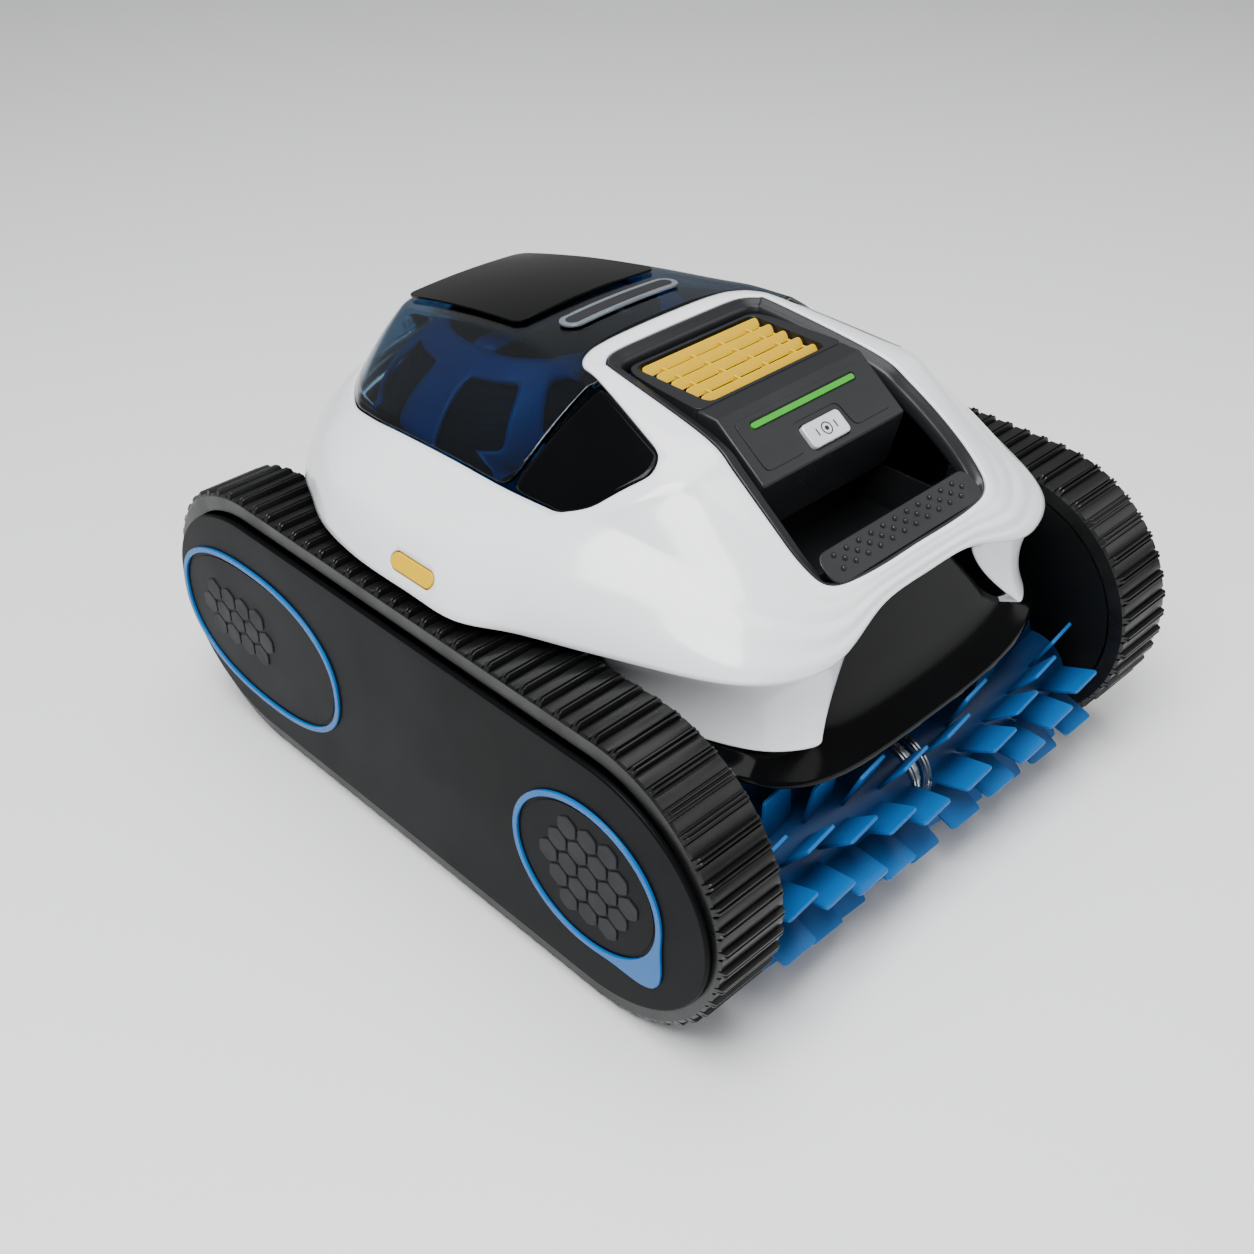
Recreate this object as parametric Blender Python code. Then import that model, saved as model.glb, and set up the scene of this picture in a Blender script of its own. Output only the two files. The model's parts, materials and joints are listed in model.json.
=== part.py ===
"""Cordless tracked pool cleaning robot, as separate pieces.

Metres, +Z up, front towards -Y. The origin is under the middle of the tracks, on the floor.
All sizes below are in millimetres and MM turns them to metres when a piece is made.
"""

import math

import bmesh
import bpy
from mathutils import Matrix, Vector

MM = 0.001

for old in list(bpy.data.objects):
    bpy.data.objects.remove(old)

# Tracks
WHEEL_Y = 141.0          # distance of each wheel axle from the middle
LUG_RADIUS = 87.0        # over the belt's lugs
BELT_RADIUS = 83.0       # over the belt's flat pads
BELT_INSIDE = 74.5
AXLE_Z = LUG_RADIUS
BELT_IN_X, BELT_OUT_X = 150.0, 194.0
LUGS = 44
WHEEL_RADIUS = 73.2
WHEEL_IN_X, WHEEL_OUT_X = 158.0, 186.0
BORE_RADIUS, AXLE_RADIUS = 6.12, 6.0
COVER_IN_X, COVER_OUT_X = 194.5, 198.2
COVER_END, COVER_HALF_HEIGHT = 80.0, 71.5
TRIM_OUT_X = 200.0       # outer face of the rings on the side covers

# Brush
BRUSH_Y, BRUSH_Z = -176.0, 56.0
HUB_RADIUS, PADDLE_RADIUS = 22.0, 48.5
BRUSH_IN_X, BRUSH_OUT_X = 3.5, 142.0
PADDLE_ROWS, PADDLE_COLUMNS = 9, 5

# Body
SHELL_WALL = 3.0
DOME_WALL = 2.5
SEAM = 1.0               # between the shell and the panels in its opening
FLOOR_Z, FLOOR_TOP = 20.0, 23.0
DECK_Z, DECK_TOP = 177.0, 179.4
TUB_WALL = 3.0
HINGE_Y, HINGE_Z = 208.5, 205.0
PUMP_Y = -47.0
BASKET_Y = 90.0
SPOKES_PER_KEY = 2       # cage spokes from one key spoke to the next

# The body surface is a cage of spokes. Each key spoke runs from the trim opening (T), over the
# window's upper edge (W) and lower edge (C) and the shoulder (D), to the bottom edge (E).
# Spokes go round from the front centre to the rear centre on the +X side, as x, y, z.
KEYS = {
    "T": [(0, -175, 206), (38, -175, 206), (64, -171, 208), (71, -158, 217), (71.5, -137, 232),
          (69.5, -112, 247.5), (67, -90, 257.5), (62, -22, 266.4), (59, -12, 266.8),
          (50, -6, 267.1), (38, -5, 267.4), (26, -5, 267.5), (13, -5, 267.6), (0, -5, 267.6)],
    "W": [(0, -177.5, 203.5), (37, -178, 203), (68, -176, 203), (84, -161, 210), (91, -135, 225),
          (93, -108, 242), (91, -91, 250.5), (72, -22, 263.8), (67, -3, 264.7),
          (55, 5, 265.8), (41, 6.5, 266.9), (28, 6.5, 267.6), (14, 6.5, 267.9), (0, 6.5, 268)],
    "C": [(0, -180, 199), (37, -180.5, 199), (73, -181, 196), (98, -163, 202), (113, -124, 215),
          (124, -82, 225), (128, -62, 224.5), (130, -15, 222), (130, 30, 221.5),
          (130, 72, 220), (127, 105, 216), (116, 136, 211), (74, 180, 205.5), (0, 203, 203)],
    "D": [(0, -181.5, 195), (37, -182.5, 194.5), (78, -186, 188), (112, -167, 193), (136, -116, 202),
          (156, -62, 207), (170, -14, 208), (172, 18, 207), (172, 50, 206),
          (167, 86, 204), (156, 111, 202), (136, 140, 200), (86, 185, 197.5), (0, 208, 196)],
    "E": [(0, -182, 191), (36, -183, 190.5), (82.5, -190, 179.5), (126, -170, 181), (155, -108, 180),
          (172, -66, 180), (187, -36, 180), (188, 0, 180), (187.5, 42, 180),
          (181, 80, 180), (168, 110, 180), (150, 141, 180), (94, 191, 180), (0, 214, 180)],
}
WINDOW_KEY = 6           # key spoke along the window's front edge
SPLIT_KEY = 7            # key spoke where the side window meets the tinted lid

# Edge of the tinted lid's roof, one point for each key spoke from SPLIT_KEY on
ROOF_EDGE = [(80, -20), (75, 8), (67, 36), (61, 92), (58, 158), (38, 176), (0, 179)]

# Tub outline in plan and front hood, matched to the same key spokes
TUB = [(0, -125), (36, -125), (74, -125), (100, -120), (128, -99), (143, -78), (146, -48),
       (146, -10), (146, 30), (146, 72), (146, 104), (136, 128), (86, 176), (0, 197)]
DECK_FRONT = [(0, -130), (38, -130), (76, -130), (104, -126), (134, -106), (150, -84)]
HOOD_ROWS = [
    [(0, -196, 104), (60, -196, 104), (100, -193, 114), (124, -179, 124), (136, -150, 127), (140, -118, 127)],
    [(0, -183, 124), (60, -182.5, 125), (88, -179, 132), (108, -165, 134), (121, -144, 134), (126, -116, 134)],
    [(0, -174, 155), (50, -173, 155), (80, -172, 155), (101, -160, 156), (115, -142, 156), (121, -119, 156)],
    [(0, -166, 185), (46, -165, 185), (68, -164, 181), (92, -154, 173), (108, -139, 173), (116, -120, 173)],
]
FENDER_TOP = [(83, -186.5), (103, -181.5), (119, -170), (133, -147), (147, -110), (149, -94)]
FENDER_LOW = [(86, -192.5), (100, -184), (113, -172), (124, -147), (131, -124), (134, -98)]


# ---------------------------------------------------------------- tools

def linear(hex_colour):
    """Linear RGB of an sRGB hex colour."""
    values = [int(hex_colour[i:i + 2], 16) / 255 for i in (1, 3, 5)]
    return [v / 12.92 if v <= 0.04045 else ((v + 0.055) / 1.055) ** 2.4 for v in values]


def material(name, hex_colour, roughness, metallic=0.0, alpha=1.0):
    mat = bpy.data.materials.new(name)
    mat.use_nodes = True
    shader = mat.node_tree.nodes["Principled BSDF"]
    shader.inputs["Base Color"].default_value = (*linear(hex_colour), 1)
    shader.inputs["Roughness"].default_value = roughness
    shader.inputs["Metallic"].default_value = metallic
    shader.inputs["Alpha"].default_value = alpha
    return mat


def piece(name, bm, mat, origin=(0, 0, 0)):
    """Make an object from a bmesh in millimetres, with its origin at a point in millimetres."""
    bmesh.ops.remove_doubles(bm, verts=bm.verts, dist=0.001)
    bmesh.ops.recalc_face_normals(bm, faces=bm.faces)
    if bm.calc_volume(signed=True) < 0:
        bmesh.ops.reverse_faces(bm, faces=bm.faces)
    bmesh.ops.translate(bm, verts=bm.verts, vec=-Vector(origin))
    bmesh.ops.scale(bm, verts=bm.verts, vec=(MM, MM, MM))
    mesh = bpy.data.meshes.new(name)
    bm.to_mesh(mesh)
    bm.free()
    mesh.shade_smooth()
    mesh.set_sharp_from_angle(angle=math.radians(35))
    if mat:
        mesh.materials.append(mat)
    obj = bpy.data.objects.new(name, mesh)
    obj.location = Vector(origin) * MM
    bpy.context.scene.collection.objects.link(obj)
    return obj


def on_axis(axis, along, a, b):
    """The point at 'along' on an axis, with a and b on the other two in X, Y, Z order."""
    return {"X": (along, a, b), "Y": (a, along, b), "Z": (a, b, along)}[axis]


def add_loop(bm, points, closed=True):
    verts = [bm.verts.new(p) for p in points]
    pairs = list(zip(verts, verts[1:]))
    if closed:
        pairs.append((verts[-1], verts[0]))
    return [bm.edges.new(pair) for pair in pairs]


def plate(outline, axis, low, high, holes=()):
    """A flat plate between two heights on an axis, with holes, as a bmesh."""
    bm = bmesh.new()
    edges = []
    for loop in (outline, *holes):
        edges += add_loop(bm, [on_axis(axis, low, a, b) for a, b in loop])
    bmesh.ops.triangle_fill(bm, use_beauty=True, use_dissolve=False, edges=edges)
    grown = bmesh.ops.extrude_face_region(bm, geom=bm.faces[:])
    moved = [v for v in grown["geom"] if isinstance(v, bmesh.types.BMVert)]
    bmesh.ops.translate(bm, verts=moved, vec=on_axis(axis, high - low, 0, 0))
    return bm


def skin(rows, closed=True, caps=False):
    """Bridge rows of points with the same count into a surface."""
    bm = bmesh.new()
    loops = [add_loop(bm, row, closed) for row in rows]
    if caps:
        for loop in (loops[0], loops[-1]):
            bmesh.ops.triangle_fill(bm, use_beauty=True, use_dissolve=False, edges=loop)
    for low, high in zip(loops, loops[1:]):
        bmesh.ops.bridge_loops(bm, edges=low + high)
    return bm


def ring_body(rows):
    """Closed rows joined point to point, one after another and back to the first, into a ring."""
    bm = bmesh.new()
    loops = [[bm.verts.new(p) for p in row] for row in rows]
    for low, high in zip(loops, loops[1:] + loops[:1]):
        for i in range(len(low)):
            bm.faces.new((low[i - 1], low[i], high[i], high[i - 1]))
    return bm


def box(x, y, z):
    """A box from three (low, high) pairs, as a bmesh."""
    corners = [(x[0], y[0]), (x[1], y[0]), (x[1], y[1]), (x[0], y[1])]
    return plate(corners, "Z", z[0], z[1])


def circle(a, b, radius, steps=24, start=0.0):
    return [(a + radius * math.cos(start + 2 * math.pi * i / steps),
             b + radius * math.sin(start + 2 * math.pi * i / steps)) for i in range(steps)]


def oval(a, b, half_a, half_b, power=2.0, steps=32):
    """A superellipse: power 2 is an ellipse, and more is boxier."""
    points = []
    for i in range(steps):
        angle = 2 * math.pi * i / steps
        c, s = math.cos(angle), math.sin(angle)
        points.append((a + half_a * math.copysign(abs(c) ** (2 / power), c),
                       b + half_b * math.copysign(abs(s) ** (2 / power), s)))
    return points


def rounded(half_a, half_b, radius, steps=4):
    """A rounded rectangle about the origin."""
    points = []
    for k, (sa, sb) in enumerate(((1, 1), (-1, 1), (-1, -1), (1, -1))):
        for i in range(steps + 1):
            angle = math.pi / 2 * (k + i / steps)
            points.append((sa * (half_a - radius) + radius * math.cos(angle),
                           sb * (half_b - radius) + radius * math.sin(angle)))
    return points


def turned(profile, axis, a, b, steps=28):
    """Spin a closed profile of (radius, along) points about an axis through a, b."""
    bm = bmesh.new()
    first = {"X": (0, 1, 0), "Y": (1, 0, 0), "Z": (1, 0, 0)}[axis]
    centre = Vector(on_axis(axis, 0, a, b))
    along = Vector(on_axis(axis, 1, 0, 0))
    points = [centre + Vector(first) * r + along * h for r, h in profile]
    edges = add_loop(bm, points)
    geom = edges + list({v for e in edges for v in e.verts})
    bmesh.ops.spin(bm, geom=geom, cent=centre, axis=along, angle=2 * math.pi, steps=steps, use_merge=True)
    return bm


def rod(axis, a, b, radius, low, high, steps=24):
    return plate(circle(a, b, radius, steps), axis, low, high)


def placed(bm, matrix):
    bmesh.ops.transform(bm, matrix=matrix, verts=bm.verts)
    return bm


def boolean(obj, other_bm, operation):
    """Cut or join a helper shape, in millimetres, with a Boolean modifier."""
    helper = piece(obj.name + "_" + operation.lower() + str(len(obj.modifiers)), other_bm, None)
    helper.hide_render = True
    helper.display_type = "WIRE"
    mod = obj.modifiers.new(operation, "BOOLEAN")
    mod.operation = operation
    mod.solver = "EXACT"
    mod.object = helper
    return helper


def thicken(obj, wall):
    mod = obj.modifiers.new("wall", "SOLIDIFY")
    mod.thickness = wall * MM
    mod.offset = -1
    mod.use_even_offset = True


def mirrored(points):
    """The -X copy of a half row that starts and ends on the middle plane, joined to the row."""
    return points + [(-p[0], *p[1:]) for p in reversed(points[1:-1])]


def both_sides(points):
    """An open row from its mirrored end, through the middle point, to its own end."""
    return [(-p[0], *p[1:]) for p in reversed(points[1:])] + points


# ---------------------------------------------------------------- materials

WHITE = material("white_gloss_abs", "#E9EDF1", 0.22)
BLACK_GLOSS = material("black_gloss_pc", "#0B0C0E", 0.08)
BLACK_ABS = material("black_moulded_abs", "#141517", 0.45)
CHARCOAL = material("charcoal_satin_abs", "#37393C", 0.42)
GREY = material("grey_moulded_abs", "#55565A", 0.5)
RUBBER = material("black_track_rubber", "#1B1C1D", 0.62)
BLUE_TRIM = material("blue_gloss_trim", "#2490D4", 0.25)
BLUE_RUBBER = material("blue_brush_rubber", "#2A78B4", 0.45)
BLUE_FRAME = material("blue_basket_abs", "#0F4F8F", 0.35)
TINT = material("tinted_dome_pc", "#0A1A2C", 0.05, alpha=0.45)
YELLOW = material("yellow_moulded_abs", "#F2CF3A", 0.4)
LED = material("green_light_guide", "#6ABF5A", 0.3)
SILVER = material("silver_painted_button", "#D5D8DA", 0.3, 0.3)
BADGE = material("grey_silver_badge", "#8F9AA3", 0.3, 0.4)
MESH = material("black_filter_mesh", "#101214", 0.7)
STEEL = material("stainless_steel", "#B9BDC0", 0.3, 1.0)
MOTOR = material("zinc_plated_can", "#8B9096", 0.4, 1.0)
CELL = material("battery_wrap", "#2C4A38", 0.5)


# ---------------------------------------------------------------- body surface

def roof_height(x, y):
    """Height of the body's roof behind the trim opening."""
    fall = max(y - 6.5, 0)
    return 268.0 - 0.06 * fall - 0.00062 * fall * fall - 0.0008 * x * x


def between(keys):
    """Smooth in-between points of a row of key points."""
    keys = [Vector(k) for k in keys]
    row = []
    for k in range(len(keys) - 1):
        a, b = keys[k], keys[k + 1]
        leave = (b - keys[max(k - 1, 0)]) * 0.5
        arrive = (keys[min(k + 2, len(keys) - 1)] - a) * 0.5
        for i in range(SPOKES_PER_KEY):
            t = i / SPOKES_PER_KEY
            row.append(a * (2 * t**3 - 3 * t**2 + 1) + leave * (t**3 - 2 * t**2 + t)
                       + b * (3 * t**2 - 2 * t**3) + arrive * (t**3 - t**2))
    row.append(keys[-1])
    return row


def spokes(name, first_key=0):
    """A cage line with its in-between spokes, from a key spoke to the rear centre."""
    return between(KEYS[name])[first_key * SPOKES_PER_KEY:]


def lid_rows():
    """Rows over the lid, from its upper edge to its lower edge, as half rows.

    Each starts at the split spoke and ends at the rear centre, and the outer ones keep the seam.
    """
    rows = [[], [], [], [], []]
    for top, rim, low in zip(spokes("W", SPLIT_KEY), between(ROOF_EDGE), spokes("C", SPLIT_KEY)):
        rim = Vector((rim.x, rim.y, roof_height(rim.x, rim.y) - 0.5))
        across = rim.lerp(low, 0.5) + Vector((0.0, 0.0, 3.5))
        roof = top.lerp(rim, 0.5)
        roof.z = roof_height(roof.x, roof.y)
        top, low = pulled(top, roof), pulled(low, across)
        for row, point in zip(rows, (top, roof, rim, across, low)):
            row.append(point)
    for row in rows:
        row[0] = pulled(row[0], row[1])
    return rows


def pulled(point, towards, distance=SEAM):
    """A point moved a short way towards another, which leaves the seam between two panels."""
    return point + (towards - point).normalized() * distance


def make_shell():
    rows = [mirrored([tuple(p) for p in spokes(name)]) for name in "TWCDE"]
    bm = skin(rows)
    opening = [p for name in "WC" for p in spokes(name, WINDOW_KEY)]
    spots = {(round(abs(p.x), 2), round(p.y, 2), round(p.z, 2)) for p in opening}
    gone = [f for f in bm.faces
            if all((round(abs(v.co.x), 2), round(v.co.y, 2), round(v.co.z, 2)) in spots for v in f.verts)]
    bmesh.ops.delete(bm, geom=gone, context="FACES")
    shell = piece("upper_shell", bm, WHITE)
    if sum(f.normal.z for f in shell.data.polygons) < 0:
        shell.data.flip_normals()
    thicken(shell, SHELL_WALL)
    for side in (-1, 1):
        for x in (6, 21):
            lug = box(sorted((side * x, side * (x + 5))), (204.2, 212.5), (194, 209))
            boolean(shell, lug, "UNION")
        boolean(shell, release_shape(side, 0.6, -9, 6), "DIFFERENCE")
    boolean(shell, rod("X", HINGE_Y, HINGE_Z, 2.2, -60, 60, 16), "DIFFERENCE")
    return shell


def release_shape(side, margin, low, high):
    """The pill of the side release button, from low to high along the pod wall's normal."""
    pill = plate(rounded(16.5 + margin, 4.5 + margin, 4.4 + margin), "Z", low, high)
    turn = Matrix(((0, side * -0.524, side * 0.852), (1, 0, 0), (0, 0.852, 0.524))).to_4x4()
    return placed(pill, Matrix.Translation((side * 181.6, 0, 190)) @ turn)


def open_rows(name, rows, mat, wall):
    """A lofted open surface with a wall behind it."""
    obj = piece(name, skin(rows, closed=False), mat)
    if sum(f.normal.z * f.area for f in obj.data.polygons) < 0:
        obj.data.flip_normals()
    thicken(obj, wall)
    return obj


def make_lid():
    rows = [both_sides([tuple(p) for p in reversed(row)]) for row in lid_rows()]
    lid = open_rows("dome_lid", rows, TINT, DOME_WALL)
    for side in (-1, 1):
        lug = box(sorted((side * 12, side * 20)), (197, 212), (204, 209))
        boolean(lid, lug, "UNION")
    boolean(lid, rod("X", HINGE_Y, HINGE_Z, 2.2, -60, 60, 16), "DIFFERENCE")
    panel = [(-54, 62), (54, 62), (46, 174), (-46, 174)]
    laid_on_roof("lid_panel", panel, 0.5, 1.6, BLACK_GLOSS)
    badge = [(-43, 30), (43, 30), (43, 46), (-43, 46)]
    laid_on_roof("badge_strip", badge, 0.5, 1.5, BADGE)


def laid_on_roof(name, corners, low, high, mat):
    """A thin plate that follows the roof, between two heights over it."""
    steps = 5
    (x0, y0), (x1, _), (x2, y2), (x3, _) = corners
    loops = []
    for height in (low, high):
        for i in range(steps + 1):
            t = i / steps
            y = y0 + (y2 - y0) * t
            half = x1 + (x2 - x1) * t
            xs = [-half, -half / 2, 0, half / 2, half]
            loops.append([(x, y, roof_height(x, y) + height + 0.6) for x in xs])
    under, over = loops[:steps + 1], loops[steps + 1:]
    sections = [a + b[::-1] for a, b in zip(under, over)]
    return piece(name, skin(sections, caps=True), mat)


def make_side_window(side):
    """Gloss window between the white shell's window edge and the tinted lid."""
    rows = []
    tops, lows = spokes("W", WINDOW_KEY), spokes("C", WINDOW_KEY)
    count = (SPLIT_KEY - WINDOW_KEY) * SPOKES_PER_KEY
    for i in range(count + 1):
        top, low = tops[i], lows[i]
        shift = {0: SEAM, count: -SEAM}.get(i, 0.0)
        across = top.lerp(low, 0.5) + Vector((2.0, 0, 2.5))
        row = (pulled(top, low), across, pulled(low, top))
        rows.append([(side * p.x, p.y + shift, p.z) for p in row])
    name = "side_window_left" if side < 0 else "side_window_right"
    return open_rows(name, rows, BLACK_GLOSS, 2.0)


def plan_inset(points, inset):
    """Points of a closed plan outline moved in by a distance, square to the outline."""
    moved = []
    count = len(points)
    for i, p in enumerate(points):
        before, after = Vector(points[i - 1][:2]), Vector(points[(i + 1) % count][:2])
        along = (after - before).normalized()
        moved.append((p[0] - along.y * inset, p[1] + along.x * inset, *p[2:]))
    return moved


def make_chassis():
    """The tub with its deck flange, the floor and the wall, as one ring of rows and two caps."""
    tub = mirrored([tuple(p) for p in between(TUB)])
    inner = plan_inset(tub, TUB_WALL)
    deck = [k[:2] for k in KEYS["E"]]
    deck = DECK_FRONT + deck[len(DECK_FRONT):]
    deck = plan_inset(mirrored([tuple(p) for p in between(deck)]), 4.8)

    def at(plan, z):
        return [(x, y, z) for x, y in plan]

    rows = [at(tub, FLOOR_Z), at(tub, DECK_Z), at(deck, DECK_Z), at(deck, DECK_TOP),
            at(inner, DECK_TOP), at(inner, FLOOR_TOP)]
    chassis = piece("lower_chassis", skin(rows, caps=True), BLACK_ABS)
    boolean(chassis, box((-60, 60), (91, 117), (10, 40)), "DIFFERENCE")
    boolean(chassis, rod("X", WHEEL_Y, AXLE_Z, 6.6, -160, 160, 16), "DIFFERENCE")
    boolean(chassis, rod("Y", 0, 146, 13.0, 185, 215), "DIFFERENCE")
    for side in (-1, 1):
        boolean(chassis, rod("Z", side * 100, -60, 2.2, 10, 40, 12), "DIFFERENCE")
        screw = turned([(0.4, 16.6), (4.0, 16.6), (4.0, 19.6), (1.9, 19.6), (1.9, 25), (0.4, 25)],
                       "Z", side * 100, -60, 12)
        name = "belly_screw_left" if side < 0 else "belly_screw_right"
        piece(name, screw, STEEL)
    return chassis


def make_hood():
    rows = [both_sides(row) for row in HOOD_ROWS]
    return open_rows("front_hood", rows, BLACK_GLOSS, 2.5)


def make_fender(side):
    """White lip under the shell's front corner, with the leg that comes down beside the hood."""
    top = [(side * x, y, 176.2) for x, y in FENDER_TOP]
    low = [(side * x, y, 134.0) for x, y in FENDER_LOW]
    leg_top = (side * 46.0, -178.0, 185.6)
    leg_low = (side * 84.0, -188.5, 136.0)
    rows = [[leg_low] + low, [tuple(Vector(leg_low).lerp(Vector(leg_top), 0.5))]
            + [tuple(Vector(a).lerp(Vector(b), 0.5)) for a, b in zip(low, top)], [leg_top] + top]
    fender = piece("fender_left" if side < 0 else "fender_right", skin(rows, closed=False), WHITE)
    middle = fender.data.polygons[3]
    if middle.normal.x * side < 0:
        fender.data.flip_normals()
    thicken(fender, 2.4)
    return fender


# ---------------------------------------------------------------- controls and handle

def trim_row(inset, drop):
    """The trim opening's outline moved in and down."""
    row = plan_inset(mirrored([tuple(p) for p in spokes("T")]), inset)
    return [(x, y, z - drop) for x, y, z in row]


def make_trim():
    rows = [trim_row(0.8, 0.2), trim_row(7.5, 3), trim_row(9, 12), trim_row(4.6, 12), trim_row(3.4, 2.4)]
    return piece("trim_frame", ring_body(rows), CHARCOAL)


def make_grille():
    """Louvres over the pump outlet: cross slats tied by two ribs, in a thin frame."""
    half, y0, y1 = 45.0, -72.0, -20.0
    top, bottom = 263.0, 255.0
    frame = plate([(-half, y0), (half, y0), (half, y1), (-half, y1)], "Z", bottom, top,
                  [[(-half + 2.5, y0 + 2.5), (half - 2.5, y0 + 2.5), (half - 2.5, y1 - 2.5),
                    (-half + 2.5, y1 - 2.5)]])
    grille = piece("exhaust_grille", frame, YELLOW)
    count = 4
    for i in range(count):
        y = y0 + (y1 - y0) * (i + 1) / (count + 1)
        slat = box((-half + 1, half - 1), (y - 0.9, y + 0.9), (bottom + 0.8, top - 0.2))
        boolean(grille, slat, "UNION")
    for x in (-15, 15):
        rib = box((x - 0.8, x + 0.8), (y0 + 1, y1 - 1), (bottom + 1.6, bottom + 4))
        boolean(grille, rib, "UNION")
    return grille


PANEL_NORMAL = Vector((0, -0.588, 0.809))
PANEL_MIDDLE = Vector((0, -103.5, 249.2))


def panel_frame(across=0.0, down=0.0, out=0.0):
    """A frame on the control panel: X across, Y up the slope, Z out of it."""
    up = Vector((0, 0.809, 0.588))
    turn = Matrix((Vector((1, 0, 0)), up, PANEL_NORMAL)).transposed().to_4x4()
    spot = PANEL_MIDDLE + Vector((across, 0, 0)) - up * down + PANEL_NORMAL * out
    return Matrix.Translation(spot) @ turn


def make_controls():
    """The sloping control housing, its light guide and the power button."""
    side_view = [(-73.2, 261.6), (-87, 261.4), (-120, 237.4), (-112, 203), (-100, 203),
                 (-92, 232), (-73.2, 250)]
    housing = piece("control_housing", plate(side_view, "X", -56.6, 56.6), CHARCOAL)
    surround = [(-56.2, -75), (56.2, -75), (53.5, -40), (51.5, -24), (46.5, -17),
                (-46.5, -17), (-51.5, -24), (-53.5, -40)]
    grille_hole = [(-45.5, -72.5), (45.5, -72.5), (45.5, -19.5), (-45.5, -19.5)]
    boolean(housing, plate(surround, "Z", 256, 261.5, [grille_hole]), "UNION")
    boolean(housing, placed(plate(rounded(40.5, 2.2, 2.1), "Z", -2.2, 4), panel_frame(down=-9.5)), "DIFFERENCE")
    boolean(housing, placed(plate(rounded(15.2, 7.7, 3.2), "Z", -5.5, 4), panel_frame(down=9)), "DIFFERENCE")
    light = placed(plate(rounded(40.0, 1.7, 1.6), "Z", -1.7, 0.4), panel_frame(down=-9.5))
    piece("light_bar", light, LED)
    button = placed(plate(rounded(14.5, 7.0, 2.8), "Z", -2.6, 2.2), panel_frame(down=9))
    piece("power_button", button, SILVER, origin=panel_frame(down=9).translation)


def make_hand_well():
    """Open-topped pocket behind the handle, for the fingers."""
    def outline(half, front, back, z):
        return [(-half, front, z), (half, front, z), (half, back, z), (-half, back, z)]
    wall = 2.0
    top, bottom = 202.6, 181.0
    rows = [outline(48, -146, -100, bottom), outline(54, -156.5, -96, top),
            outline(54 - wall, -156.5 + wall, -96 - wall, top),
            outline(48 - wall, -146 + wall, -100 - wall, bottom + wall)]
    return piece("hand_well", skin(rows, caps=True), BLACK_ABS)


def make_grip():
    """Soft strip on top of the handle with three rows of bumps."""
    columns, rows = 11, 3
    half, y0, y1 = 54.0, -167.2, -157.2
    slope = (217 - 206) / (175 - 158)
    grid = []
    for j in range(rows + 1):
        y = y0 + (y1 - y0) * j / rows
        grid.append([(half * (2 * i / columns - 1), y, 208.0 + (y - y0) * slope) for i in range(columns + 1)])
    bm = skin(grid, closed=False)
    if sum(f.normal.z for f in bm.faces) < 0:
        bmesh.ops.reverse_faces(bm, faces=bm.faces)
    tops = bm.faces[:]
    grown = bmesh.ops.extrude_face_region(bm, geom=tops, use_keep_orig=True)
    moved = [v for v in grown["geom"] if isinstance(v, bmesh.types.BMVert)]
    raised = [f for f in grown["geom"] if isinstance(f, bmesh.types.BMFace)]
    bmesh.ops.translate(bm, verts=moved, vec=(0, 0, 3.0))
    bmesh.ops.inset_individual(bm, faces=raised, thickness=0.9, depth=0.0, use_even_offset=True)
    bmesh.ops.inset_individual(bm, faces=raised, thickness=0.35, depth=0.9, use_even_offset=True)
    return piece("grip_pad", bm, CHARCOAL)


# ---------------------------------------------------------------- tracks

def stadium(radius, arc_steps=14, end=None):
    """Outline round both wheel centres; end is the reach past a wheel centre if not the radius."""
    reach = end or radius
    points = []
    for sign in (1, -1):
        for i in range(arc_steps + 1):
            angle = math.pi * (i / arc_steps - 0.5)
            points.append((sign * (WHEEL_Y + reach * math.cos(angle)),
                           AXLE_Z + sign * radius * math.sin(angle)))
    return points


def track_point(distance, radius):
    """The point at a distance along the belt's pitch line, at a radius from the wheel centres."""
    straight = 2 * WHEEL_Y
    arc = math.pi * BELT_RADIUS
    distance %= 2 * (straight + arc)
    sign = 1
    if distance >= straight + arc:
        distance -= straight + arc
        sign = -1
    if distance < straight:
        return sign * (distance - WHEEL_Y), AXLE_Z - sign * radius
    angle = (distance - straight) / BELT_RADIUS - math.pi / 2
    return sign * (WHEEL_Y + radius * math.cos(angle)), AXLE_Z + sign * radius * math.sin(angle)


def make_belt(side):
    length = 2 * (2 * WHEEL_Y + math.pi * BELT_RADIUS)
    pitch = length / LUGS
    outline = []
    for i in range(LUGS):
        for share, radius in ((0.18, BELT_RADIUS), (0.28, LUG_RADIUS), (0.72, LUG_RADIUS), (0.82, BELT_RADIUS)):
            outline.append(track_point((i + share) * pitch, radius))
    low, high = sorted((side * BELT_IN_X, side * BELT_OUT_X))
    name = "track_belt_left" if side < 0 else "track_belt_right"
    piece(name, plate(outline, "X", low, high, [stadium(BELT_INSIDE)]), RUBBER)


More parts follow.
